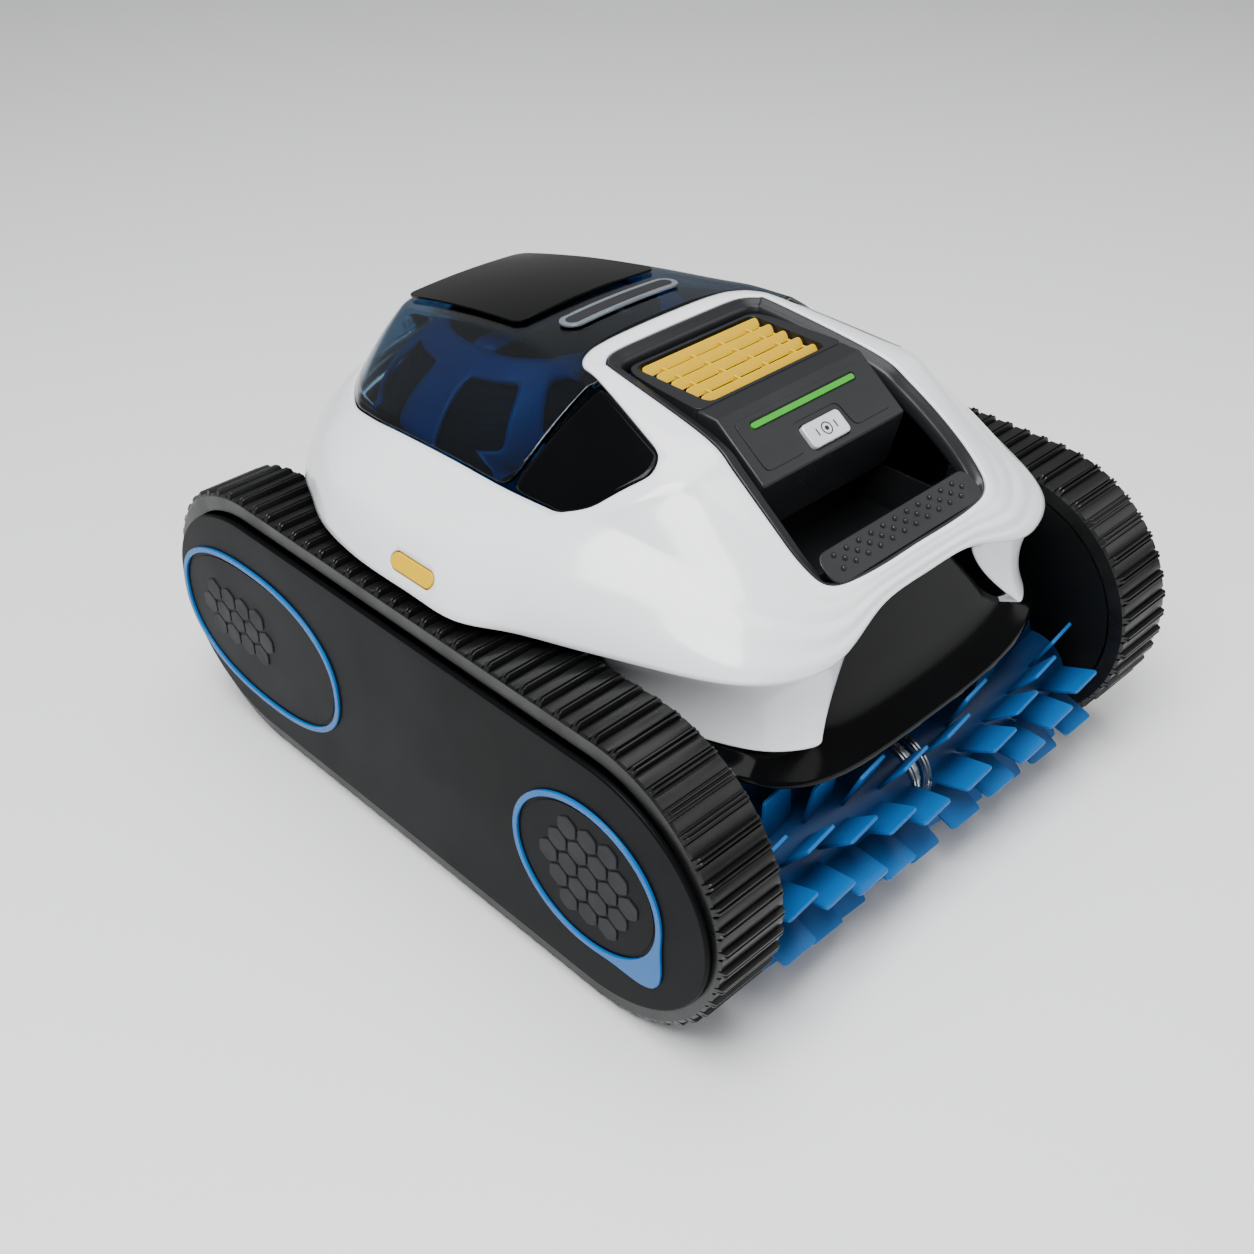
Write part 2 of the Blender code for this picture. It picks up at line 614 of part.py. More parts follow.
def make_wheels(side):
    """Both wheels of a track, the rear drive shaft, the front fixed axle, and the motor."""
    end = "left" if side < 0 else "right"
    profile = [(BORE_RADIUS, 158), (16, 158), (16, 170), (66, 170), (66, 158), (WHEEL_RADIUS, 158),
               (WHEEL_RADIUS, WHEEL_OUT_X), (BORE_RADIUS, WHEEL_OUT_X)]
    profile = [(r, side * x) for r, x in profile]
    for name, y in (("idler_wheel_", -WHEEL_Y), ("drive_wheel_", WHEEL_Y)):
        piece(name + end, turned(profile, "X", y, AXLE_Z), BLACK_ABS, origin=(side * 172, y, AXLE_Z))
    low, high = sorted((side * 99, side * 185))
    piece("drive_shaft_" + end, rod("X", WHEEL_Y, AXLE_Z, 5.6, low, high, 16), STEEL,
          origin=(side * 150, WHEEL_Y, AXLE_Z))
    low, high = sorted((side * 155.5, side * 194))
    piece("idler_axle_" + end, rod("X", -WHEEL_Y, AXLE_Z, AXLE_RADIUS, low, high), STEEL)
    low, high = sorted((side * 48, side * 98))
    piece("drive_motor_" + end, rod("X", WHEEL_Y, AXLE_Z, 19, low, high, 20), MOTOR)


def make_track_sides(side):
    """The side cover with its rings and hexagon plates, and the plate inside the track."""
    end = "left" if side < 0 else "right"
    low, high = sorted((side * COVER_IN_X, side * COVER_OUT_X))
    piece("side_cover_" + end, plate(stadium(COVER_HALF_HEIGHT, 12, COVER_END), "X", low, high), CHARCOAL)
    holes = [circle(BRUSH_Y, BRUSH_Z, 6.4, 16), circle(WHEEL_Y, AXLE_Z, 7, 16)]
    low, high = sorted((side * 150.5, side * 155))
    piece("track_inner_plate_" + end, plate(stadium(73.4, 12), "X", low, high, holes), BLACK_ABS)
    low, high = sorted((side * (COVER_OUT_X + 0.3), side * TRIM_OUT_X))
    front = (-WHEEL_Y, AXLE_Z, 52.0, 46.0, 2.0)
    rear = (138.0, 84.0, 78.0, 49.0, 2.5)
    for name, shape, plate_at in (("front_", front, (-143.0, AXLE_Z, 38.0, 36.0, 2.2)),
                                  ("rear_", rear, (158.0, 83.0, 39.0, 29.0, 2.2))):
        a, b, half_a, half_b, power = shape
        outer = oval(a, b, half_a, half_b, power)
        inner = oval(a, b, half_a - 4, half_b - 4, power)
        piece("ring_" + name + end, plate(outer, "X", low, high, [inner]), BLUE_TRIM)
        piece("hex_plate_" + name + end, plate(oval(*plate_at, steps=24), "X", low, high), GREY)


# ---------------------------------------------------------------- brush

def make_brush(side):
    """A brush half: the hub with its two stub shafts, and staggered rows of paddles."""
    end = "left" if side < 0 else "right"
    hub = [(0.5, 0.5), (5.7, 0.5), (5.7, BRUSH_IN_X), (HUB_RADIUS, BRUSH_IN_X), (HUB_RADIUS, BRUSH_OUT_X),
           (6.0, BRUSH_OUT_X), (6.0, 154), (0.5, 154)]
    hub = turned([(r, side * x) for r, x in hub], "X", BRUSH_Y, BRUSH_Z, 20)
    brush = piece("brush_" + end, hub, BLUE_RUBBER, origin=(side * 72, BRUSH_Y, BRUSH_Z))
    width = (BRUSH_OUT_X - BRUSH_IN_X - 6) / PADDLE_COLUMNS
    for column in range(PADDLE_COLUMNS):
        paddles = bmesh.new()
        x0 = BRUSH_IN_X + 3 + column * width
        low, high = sorted((side * (x0 + 0.8), side * (x0 + width - 0.8)))
        for row in range(PADDLE_ROWS):
            angle = 2 * math.pi * (row + column % 2 * 0.5) / PADDLE_ROWS
            made = bmesh.ops.create_cube(paddles, size=1)["verts"]
            reach = PADDLE_RADIUS - HUB_RADIUS + 3
            place = (Matrix.Translation(((low + high) / 2, BRUSH_Y, BRUSH_Z)) @ Matrix.Rotation(angle, 4, "X")
                     @ Matrix.Translation((0, 0, HUB_RADIUS - 3 + reach / 2))
                     @ Matrix.Diagonal((high - low, 2.2, reach, 1)))
            bmesh.ops.transform(paddles, matrix=place, verts=made)
        boolean(brush, paddles, "UNION")
    return brush


def make_brush_bearing():
    """The bracket that carries both brush halves in the middle."""
    arm = []
    for i in range(17):
        angle = math.radians(60 + 240 * i / 16)
        arm.append((BRUSH_Y + 20 * math.cos(angle), BRUSH_Z + 20 * math.sin(angle)))
    arm += [(-125.4, 48), (-125.4, 74)]
    piece("brush_bearing", plate(arm, "X", -2.2, 2.2, [circle(BRUSH_Y, BRUSH_Z, 6.2, 16)]), STEEL)


# ---------------------------------------------------------------- inside

def make_pump():
    motor = [(3.3, 60), (22, 60), (22, 148), (3.3, 148)]
    piece("pump_motor", turned(motor, "Z", 0, PUMP_Y, 20), MOTOR)
    blades = []
    for i in range(6):
        middle = 2 * math.pi * i / 6
        for radius, turn in ((8.5, -0.3), (29, 0.0), (29, 0.09), (8.5, 0.2)):
            blades.append((radius * math.cos(middle + turn), PUMP_Y + radius * math.sin(middle + turn)))
    impeller = piece("impeller", plate(blades, "Z", 156, 170), GREY, origin=(0, PUMP_Y, 160))
    boolean(impeller, rod("Z", 0, PUMP_Y, 2.8, 130, 157, 12), "UNION")

    def ring(half_x, half_y, power, z):
        return [(x, y, z) for x, y in oval(0, PUMP_Y, half_x, half_y, power, 24)]
    rows = [ring(34, 34, 2, 151), ring(34, 34, 2, 180), ring(41, 23, 6, 254), ring(38.5, 20.5, 6, 254),
            ring(31.5, 31.5, 2, 180), ring(31.5, 31.5, 2, 151)]
    piece("outlet_duct", ring_body(rows), BLACK_ABS)


def make_inside():
    piece("battery_pack", box((-95, 95), (-118, -78), (26, 92)), CELL)
    piece("control_box", box((-62, 62), (-66, 24), (26, 56)), BLACK_ABS)
    port = [(6, 182), (15, 182), (15, 190.6), (12.5, 190.6), (12.5, 198), (6, 198)]
    piece("charge_port", turned(port, "Y", 0, 146, 20), BLACK_ABS)
    piece("charge_cap", rod("Y", 0, 146, 15.5, 198.6, 201.2), BLACK_ABS, origin=(0, 200, 163))
    piece("intake_flap", box((-64, 64), (88, 121), (FLOOR_TOP + 0.5, FLOOR_TOP + 2.3)), GREY,
          origin=(0, 121, FLOOR_TOP + 1.4))
    piece("hinge_pin", rod("X", HINGE_Y, HINGE_Z, 1.9, -27, 27, 16), STEEL)


def make_basket():
    """The filter basket under the lid: a bucket, a lid that follows the dome, and the mesh liner."""
    def ring(half_x, half_y, z):
        return [(x, y, z) for x, y in oval(0, BASKET_Y, half_x, half_y, 2.6, 28)]
    rows = [ring(24, 24, 112), ring(92, 58, 112), ring(112, 78, 196), ring(109.5, 75.5, 196),
            ring(89.5, 55.5, 114.5), ring(24, 24, 114.5)]
    piece("filter_basket", ring_body(rows), BLUE_FRAME)
    rows = [ring(87.5, 53.5, 118), ring(107.5, 73.5, 194), ring(106, 72, 194), ring(86, 52, 119.5)]
    piece("filter_mesh", ring_body(rows), MESH)
    rows = [ring(112, 78, 196.5), ring(112, 78, 206), ring(100, 70, 222), ring(70, 56, 240),
            ring(67, 53, 238), ring(97, 67, 220), ring(109, 75, 205), ring(109, 75, 196.5)]
    piece("basket_lid", ring_body(rows), BLUE_FRAME)


def main():
    make_chassis()
    make_shell()
    make_hood()
    make_trim()
    make_grille()
    make_controls()
    make_hand_well()
    make_grip()
    make_lid()
    make_brush_bearing()
    make_pump()
    make_inside()
    make_basket()
    for side in (-1, 1):
        make_fender(side)
        make_side_window(side)
        make_belt(side)
        make_wheels(side)
        make_track_sides(side)
        make_brush(side)
        name = "release_button_left" if side < 0 else "release_button_right"
        piece(name, release_shape(side, 0, -3.5, 2.4), YELLOW, origin=(side * 181.6, 0, 190))


main()
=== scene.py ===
"""Looks of a cordless tracked pool cleaning robot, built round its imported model.

Shapes are worked out in millimetres, front towards -Y, and MM turns them to metres.
"""

import json
import math

import bmesh
import bpy
from mathutils import Matrix, Vector

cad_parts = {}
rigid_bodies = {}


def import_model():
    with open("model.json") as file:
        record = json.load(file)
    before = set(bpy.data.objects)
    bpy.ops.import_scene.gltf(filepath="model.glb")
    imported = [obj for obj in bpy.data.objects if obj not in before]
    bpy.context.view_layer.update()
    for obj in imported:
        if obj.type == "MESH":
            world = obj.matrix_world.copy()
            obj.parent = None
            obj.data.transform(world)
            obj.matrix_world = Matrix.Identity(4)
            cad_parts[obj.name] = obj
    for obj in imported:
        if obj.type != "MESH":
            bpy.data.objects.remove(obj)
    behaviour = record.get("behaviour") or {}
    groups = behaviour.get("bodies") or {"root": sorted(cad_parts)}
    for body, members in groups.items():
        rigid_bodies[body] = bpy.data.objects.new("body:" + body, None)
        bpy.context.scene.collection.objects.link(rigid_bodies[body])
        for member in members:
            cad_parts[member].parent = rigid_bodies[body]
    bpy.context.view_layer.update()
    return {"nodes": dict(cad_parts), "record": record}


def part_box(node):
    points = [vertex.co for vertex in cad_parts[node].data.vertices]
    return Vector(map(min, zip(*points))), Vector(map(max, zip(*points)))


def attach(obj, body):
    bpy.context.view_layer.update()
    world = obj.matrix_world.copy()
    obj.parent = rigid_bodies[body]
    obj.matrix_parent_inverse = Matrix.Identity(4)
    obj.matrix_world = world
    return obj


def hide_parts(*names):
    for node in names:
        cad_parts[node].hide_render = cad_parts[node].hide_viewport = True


for old in list(bpy.data.objects):
    bpy.data.objects.remove(old)
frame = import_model()

MM = 0.001


def span(node):
    """Lowest and highest corners of a CAD node, in millimetres."""
    low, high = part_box(node)
    return low / MM, high / MM


BELT_LOW, BELT_HIGH = span("track_belt_right")
COVER_LOW, COVER_HIGH = span("side_cover_right")
LUG_RADIUS = (BELT_HIGH.z - BELT_LOW.z) / 2
AXLE_Z = LUG_RADIUS
WHEEL_Y = BELT_HIGH.y - LUG_RADIUS
BELT_PAD_RADIUS = LUG_RADIUS - 2.4
BELT_INSIDE = LUG_RADIUS - 12.5
PITCHES = 88
SPOKES = 4               # cage spokes from one key spoke to the next
SHELL_WALL, LID_WALL = 3.0, 2.5
SEAM = 1.0
MERGE = 0.001            # points closer than this are one point
RIM_CREASE = 0.8         # how sharp a wall's open edge stays when it is smoothed

# The body's cage, as in the CAD: key spokes from the front centre to the rear centre on the +X side.
# T is the trim opening, W and C the window's upper and lower edges, D the shoulder, E the bottom.
KEYS = {
    "T": [(0, -175, 206), (38, -175, 206), (64, -171, 208), (71, -158, 217), (71.5, -137, 232),
          (69.5, -112, 247.5), (67, -90, 257.5), (62, -22, 266.4), (59, -12, 266.8),
          (50, -6, 267.1), (38, -5, 267.4), (26, -5, 267.5), (13, -5, 267.6), (0, -5, 267.6)],
    "W": [(0, -177.5, 203.5), (37, -178, 203), (68, -176, 203), (84, -161, 210), (91, -135, 225),
          (93, -108, 242), (91, -91, 250.5), (72, -22, 263.8), (67, -3, 264.7),
          (55, 5, 265.8), (41, 6.5, 266.9), (28, 6.5, 267.6), (14, 6.5, 267.9), (0, 6.5, 268)],
    "C": [(0, -180, 199), (37, -180.5, 199), (73, -181, 196), (98, -163, 202), (113, -124, 215),
          (124, -82, 225), (128, -62, 224.5), (130, -15, 222), (130, 30, 221.5),
          (130, 72, 220), (127, 105, 216), (116, 136, 211), (74, 180, 205.5), (0, 203, 203)],
    "D": [(0, -181.5, 195), (37, -182.5, 194.5), (78, -186, 188), (112, -167, 193), (136, -116, 202),
          (156, -62, 207), (170, -14, 208), (172, 18, 207), (172, 50, 206),
          (167, 86, 204), (156, 111, 202), (136, 140, 200), (86, 185, 197.5), (0, 208, 196)],
    "E": [(0, -182, 191), (36, -183, 190.5), (82.5, -190, 179.5), (126, -170, 181), (155, -108, 180),
          (172, -66, 180), (187, -36, 180), (188, 0, 180), (187.5, 42, 180),
          (181, 80, 180), (168, 110, 180), (150, 141, 180), (94, 191, 180), (0, 214, 180)],
}
WINDOW_KEY, SPLIT_KEY = 6, 7
ROOF_EDGE = [(80, -20), (75, 8), (67, 36), (61, 92), (58, 158), (38, 176), (0, 179)]

PANEL_UP = Vector((0, 0.809, 0.588))
PANEL_NORMAL = Vector((0, -0.588, 0.809))
PANEL_MIDDLE = Vector((0, -103.5, 249.2))


# ---------------------------------------------------------------- mesh tools

def on_axis(axis, along, a, b):
    """The point at 'along' on an axis, with a and b on the other two in X, Y, Z order."""
    return {"X": (along, a, b), "Y": (a, along, b), "Z": (a, b, along)}[axis]


def add_loop(bm, points, closed=True):
    """Add points joined in a row. Returns their edges and vertices."""
    verts = [bm.verts.new(p) for p in points]
    pairs = list(zip(verts, verts[1:]))
    if closed:
        pairs.append((verts[-1], verts[0]))
    return [bm.edges.new(pair) for pair in pairs], verts


def swept(rows, closed=True, tube=False):
    """Extrude a first row of points through the others. Returns the bmesh and each row's vertices."""
    bm = bmesh.new()
    edges, ring = add_loop(bm, rows[0], closed)
    rings = [ring]
    for row in rows[1:] + (rows[:1] if tube else []):
        grown = bmesh.ops.extrude_edge_only(bm, edges=edges)["geom"]
        new = {g for g in grown if isinstance(g, bmesh.types.BMVert)}
        ring = [next(e.other_vert(v) for e in v.link_edges if e.other_vert(v) in new) for v in ring]
        edges = [g for g in grown if isinstance(g, bmesh.types.BMEdge) and set(g.verts) <= new]
        for vert, point in zip(ring, row):
            vert.co = point
        rings.append(ring)
    return bm, rings


def plate(outline, axis, low, high, holes=()):
    """A flat plate between two heights on an axis, with holes."""
    bm = bmesh.new()
    edges = []
    for loop in (outline, *holes):
        edges += add_loop(bm, [on_axis(axis, low, a, b) for a, b in loop])[0]
    bmesh.ops.triangle_fill(bm, use_beauty=True, use_dissolve=False, edges=edges)
    if not holes:
        bmesh.ops.dissolve_limit(bm, angle_limit=0.01, verts=bm.verts, edges=bm.edges)
    grown = bmesh.ops.extrude_face_region(bm, geom=bm.faces[:])
    moved = [v for v in grown["geom"] if isinstance(v, bmesh.types.BMVert)]
    bmesh.ops.translate(bm, verts=moved, vec=on_axis(axis, high - low, 0, 0))
    return bm


def box(x, y, z):
    """A box between (low, high) pairs."""
    corners = [(x[0], y[0]), (x[1], y[0]), (x[1], y[1]), (x[0], y[1])]
    return plate(corners, "Z", z[0], z[1])


def circle(a, b, radius, steps=48):
    """A circle about a, b."""
    return [(a + radius * math.cos(2 * math.pi * i / steps),
             b + radius * math.sin(2 * math.pi * i / steps)) for i in range(steps)]


def oval(a, b, half_a, half_b, power=2.0, steps=96):
    """A superellipse: power 2 is an ellipse, and more is boxier."""
    points = []
    for i in range(steps):
        angle = 2 * math.pi * i / steps
        c, s = math.cos(angle), math.sin(angle)
        points.append((a + half_a * math.copysign(abs(c) ** (2 / power), c),
                       b + half_b * math.copysign(abs(s) ** (2 / power), s)))
    return points


def rounded(half_a, half_b, radius, steps=6):
    """A rounded rectangle about the origin."""
    points = []
    for k, (sa, sb) in enumerate(((1, 1), (-1, 1), (-1, -1), (1, -1))):
        for i in range(steps + 1):
            angle = math.pi / 2 * (k + i / steps)
            points.append((sa * (half_a - radius) + radius * math.cos(angle),
                           sb * (half_b - radius) + radius * math.sin(angle)))
    return points


def softened(corners, radius, steps=5):
    """A polygon with its corners rounded by a curve of about that radius."""
    points = []
    count = len(corners)
    for i, corner in enumerate(corners):
        here = Vector(corner)
        ends = []
        for other in (corners[i - 1], corners[(i + 1) % count]):
            way = Vector(other) - here
            ends.append(here + way.normalized() * min(radius, way.length * 0.45))
        for k in range(steps + 1):
            t = k / steps
            points.append(tuple(ends[0] * (1 - t) ** 2 + here * 2 * t * (1 - t) + ends[1] * t * t))
    return points


def turned(profile, axis, a, b, steps=64):
    """Spin a closed profile of (radius, along) points about an axis through a, b."""
    bm = bmesh.new()
    first = {"X": (0, 1, 0), "Y": (1, 0, 0), "Z": (1, 0, 0)}[axis]
    centre = Vector(on_axis(axis, 0, a, b))
    along = Vector(on_axis(axis, 1, 0, 0))
    edges, verts = add_loop(bm, [centre + Vector(first) * r + along * h for r, h in profile])
    bmesh.ops.spin(bm, geom=edges + verts, cent=centre, axis=along, angle=2 * math.pi, steps=steps,
                   use_merge=True)
    return bm


def placed(bm, matrix):
    """A bmesh moved by a matrix."""
    bmesh.ops.transform(bm, matrix=matrix, verts=bm.verts)
    return bm


def joined(*parts):
    """Several bmeshes as one."""
    whole = bmesh.new()
    for part in parts:
        mesh = bpy.data.meshes.new("part")
        part.to_mesh(mesh)
        part.free()
        whole.from_mesh(mesh)
        bpy.data.meshes.remove(mesh)
    return whole


def modify(obj, kind, **settings):
    """Add a modifier with its settings."""
    modifier = obj.modifiers.new(kind.lower(), kind)
    for name, value in settings.items():
        setattr(modifier, name, value)


def make(name, bm, finish, body, replaces=(), bevel=0.0, wall=0.0, smooth=0, up=False, sharp=35.0,
         cuts=()):
    """Turn a bmesh in millimetres into a finished piece that rides on a CAD body.

    finish is a name in FINISHES. up makes an open surface face upwards before it gets its wall.
    bevel and wall are in millimetres, smooth is in subdivision levels and sharp is in degrees.
    """
    bmesh.ops.remove_doubles(bm, verts=bm.verts, dist=MERGE)
    bmesh.ops.recalc_face_normals(bm, faces=bm.faces)
    facing = sum(f.normal.z * f.calc_area() for f in bm.faces) if up else bm.calc_volume(signed=True)
    if facing < 0:
        bmesh.ops.reverse_faces(bm, faces=bm.faces)
    bmesh.ops.scale(bm, verts=bm.verts, vec=(MM, MM, MM))
    mesh = bpy.data.meshes.new(name)
    bm.to_mesh(mesh)
    bm.free()
    mesh.shade_smooth()
    mesh.set_sharp_from_angle(angle=math.radians(180 if smooth else sharp))
    mesh.materials.append(FINISHES[finish])
    obj = bpy.data.objects.new(name, mesh)
    bpy.context.scene.collection.objects.link(obj)
    if wall:
        modify(obj, "SOLIDIFY", thickness=wall * MM, offset=-1, use_even_offset=True,
               edge_crease_outer=RIM_CREASE, edge_crease_inner=RIM_CREASE, edge_crease_rim=0.0)
    if bevel:
        modify(obj, "BEVEL", width=bevel * MM, segments=3, limit_method="ANGLE",
               angle_limit=math.radians(40), harden_normals=True)
    if smooth:
        modify(obj, "SUBSURF", levels=smooth, render_levels=smooth)
    for cut in cuts:
        modify(obj, "BOOLEAN", operation="DIFFERENCE", solver="EXACT", object=cut)
    if cuts:
        evaluated = obj.evaluated_get(bpy.context.evaluated_depsgraph_get())
        shape = bpy.data.meshes.new_from_object(evaluated)
        obj.modifiers.clear()
        obj.data = shape
        for cut in cuts:
            bpy.data.objects.remove(cut)
    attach(obj, body)
    if replaces:
        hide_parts(*replaces)
    return obj


def cutter(bm):
    """A hidden shape that a Boolean takes away."""
    bmesh.ops.recalc_face_normals(bm, faces=bm.faces)
    bmesh.ops.scale(bm, verts=bm.verts, vec=(MM, MM, MM))
    mesh = bpy.data.meshes.new("cutter")
    bm.to_mesh(mesh)
    bm.free()
    obj = bpy.data.objects.new("cutter", mesh)
    bpy.context.scene.collection.objects.link(obj)
    obj.hide_render = True
    bpy.context.view_layer.update()
    return obj


def side_name(side):
    """The side's name: left is -X and right is +X."""
    return "left" if side < 0 else "right"


def sided(side, near, far):
    """A (low, high) pair on the X axis for one side."""
    return sorted((side * near, side * far))


# ---------------------------------------------------------------- finishes

def linear(hex_colour):
    """Linear RGBA of an sRGB hex colour."""
    values = [int(hex_colour[i:i + 2], 16) / 255 for i in (1, 3, 5)]
    return (*[v / 12.92 if v <= 0.04045 else ((v + 0.055) / 1.055) ** 2.4 for v in values], 1)


def add(tree, kind, settings=None, **inputs):
    """Add a node with its settings, and give its inputs values or links from other sockets."""
    node = tree.nodes.new(kind)
    for name, value in (settings or {}).items():
        setattr(node, name, value)
    for name, value in inputs.items():
        socket = node.inputs[int(name[1:]) if name[0] == "_" else name.replace("_", " ")]
        if isinstance(value, bpy.types.NodeSocket):
            tree.links.new(value, socket)
        else:
            socket.default_value = value
    return node


def surface(name, colour, roughness, shade=None, shade_mm=60.0, grain_mm=0.0, depth_mm=0.0,
            wear=0.06, **sockets):
    """A moulded or turned surface with its tone and gloss wandering slightly, and a fine grain.

    shade is a second hex colour that comes in patches about shade_mm wide. grain_mm and depth_mm
    are the size and height of the surface's own texture, and wear is how far the roughness moves.
    """
    mat = bpy.data.materials.new(name)
    mat.use_nodes = True
    tree = mat.node_tree
    shader = tree.nodes["Principled BSDF"]
    for socket, value in sockets.items():
        shader.inputs[socket.replace("_", " ")].default_value = value
    place = add(tree, "ShaderNodeTexCoord").outputs["Object"]
    patches = add(tree, "ShaderNodeTexNoise", Vector=place, Scale=1 / (shade_mm * MM), Detail=4.0)
    shader.inputs["Base Color"].default_value = linear(colour)
    if shade:
        tone = add(tree, "ShaderNodeMix", {"data_type": "RGBA"}, _0=patches.outputs["Fac"],
                   _6=linear(colour), _7=linear(shade))
        tree.links.new(tone.outputs[2], shader.inputs["Base Color"])
    gloss = add(tree, "ShaderNodeMapRange", Value=patches.outputs["Fac"], From_Min=0.3, From_Max=0.7,
                To_Min=max(roughness - wear, 0.02), To_Max=roughness + wear)
    tree.links.new(gloss.outputs["Result"], shader.inputs["Roughness"])
    if grain_mm:
        grain = add(tree, "ShaderNodeTexNoise", Vector=place, Scale=1 / (grain_mm * MM), Detail=3.0)
        bump = add(tree, "ShaderNodeBump", Strength=1.0, Distance=depth_mm * MM,
                   Height=grain.outputs["Fac"])
        tree.links.new(bump.outputs["Normal"], shader.inputs["Normal"])
    return mat


def band_scale(period_mm):
    """Scale of a wave texture whose bands repeat every so many millimetres."""
    return 2 * math.pi / (20 * period_mm * MM)


def brush_rubber():
    """Moulded polyurethane rubber: deep blue at the hub, painted brighter out to the thin tips as painted
    light passing through them.
    """
    mat = surface("blue_polyurethane_painted_tip_light", "#06264A", 0.42, "#083462", 30, 0.8, 0.03,
                  Specular_IOR_Level=0.3)
    tree = mat.node_tree
    shader = tree.nodes["Principled BSDF"]
    low, high = span("brush_left")
    centre_y, centre_z = (low.y + high.y) / 2 * MM, (low.z + high.z) / 2 * MM
    place = add(tree, "ShaderNodeTexCoord").outputs["Object"]
    across = add(tree, "ShaderNodeVectorMath", {"operation": "MULTIPLY"}, _0=place, _1=(0, 1, 1))
    offset = add(tree, "ShaderNodeVectorMath", {"operation": "SUBTRACT"}, _0=across.outputs[0],
                 _1=(0, centre_y, centre_z))
    radius = add(tree, "ShaderNodeVectorMath", {"operation": "LENGTH"}, _0=offset.outputs[0])
    # Painted light: the blue lightens with distance from the axis, from the hub out to the paddle tips,
    # for light passing through the thin rubber.
    share = add(tree, "ShaderNodeMapRange", Value=radius.outputs["Value"], From_Min=24 * MM,
                From_Max=48 * MM, To_Min=0.0, To_Max=1.0)
    old = shader.inputs["Base Color"].links[0].from_socket
    tone = add(tree, "ShaderNodeMix", {"data_type": "RGBA"}, _0=share.outputs["Result"], _6=old,
               _7=linear("#0A5C9E"))
    tree.links.new(tone.outputs[2], shader.inputs["Base Color"])
    return mat


def filter_cloth():
    """Woven polyester filter cloth: threads drawn 2.4 mm apart, coarser than real ones, to show."""
    mat = surface("woven_polyester_filter", "#0D0F11", 0.7)
    tree = mat.node_tree
    place = add(tree, "ShaderNodeTexCoord").outputs["Object"]
    threads = [add(tree, "ShaderNodeTexWave", {"bands_direction": way}, Vector=place,
                   Scale=band_scale(2.4)).outputs["Fac"] for way in ("DIAGONAL", "Z")]
    weave = add(tree, "ShaderNodeMath", {"operation": "MAXIMUM"}, _0=threads[0], _1=threads[1])
    bump = add(tree, "ShaderNodeBump", Strength=1.0, Distance=0.3 * MM, Height=weave.outputs[0])
    tree.links.new(bump.outputs["Normal"], tree.nodes["Principled BSDF"].inputs["Normal"])
    return mat


def turned_steel():
    """Turned stainless steel: fine tool rings 0.57 mm apart along the X axis."""
    mat = surface("turned_stainless_steel", "#B9BDC0", 0.26, "#A4A9AD", 20, Metallic=1.0)
    tree = mat.node_tree
    place = add(tree, "ShaderNodeTexCoord").outputs["Object"]
    rings = add(tree, "ShaderNodeTexWave", {"bands_direction": "X"}, Vector=place,
                Scale=band_scale(0.5655))
    bump = add(tree, "ShaderNodeBump", Strength=0.4, Distance=0.02 * MM, Height=rings.outputs["Fac"])
    tree.links.new(bump.outputs["Normal"], tree.nodes["Principled BSDF"].inputs["Normal"])
    return mat


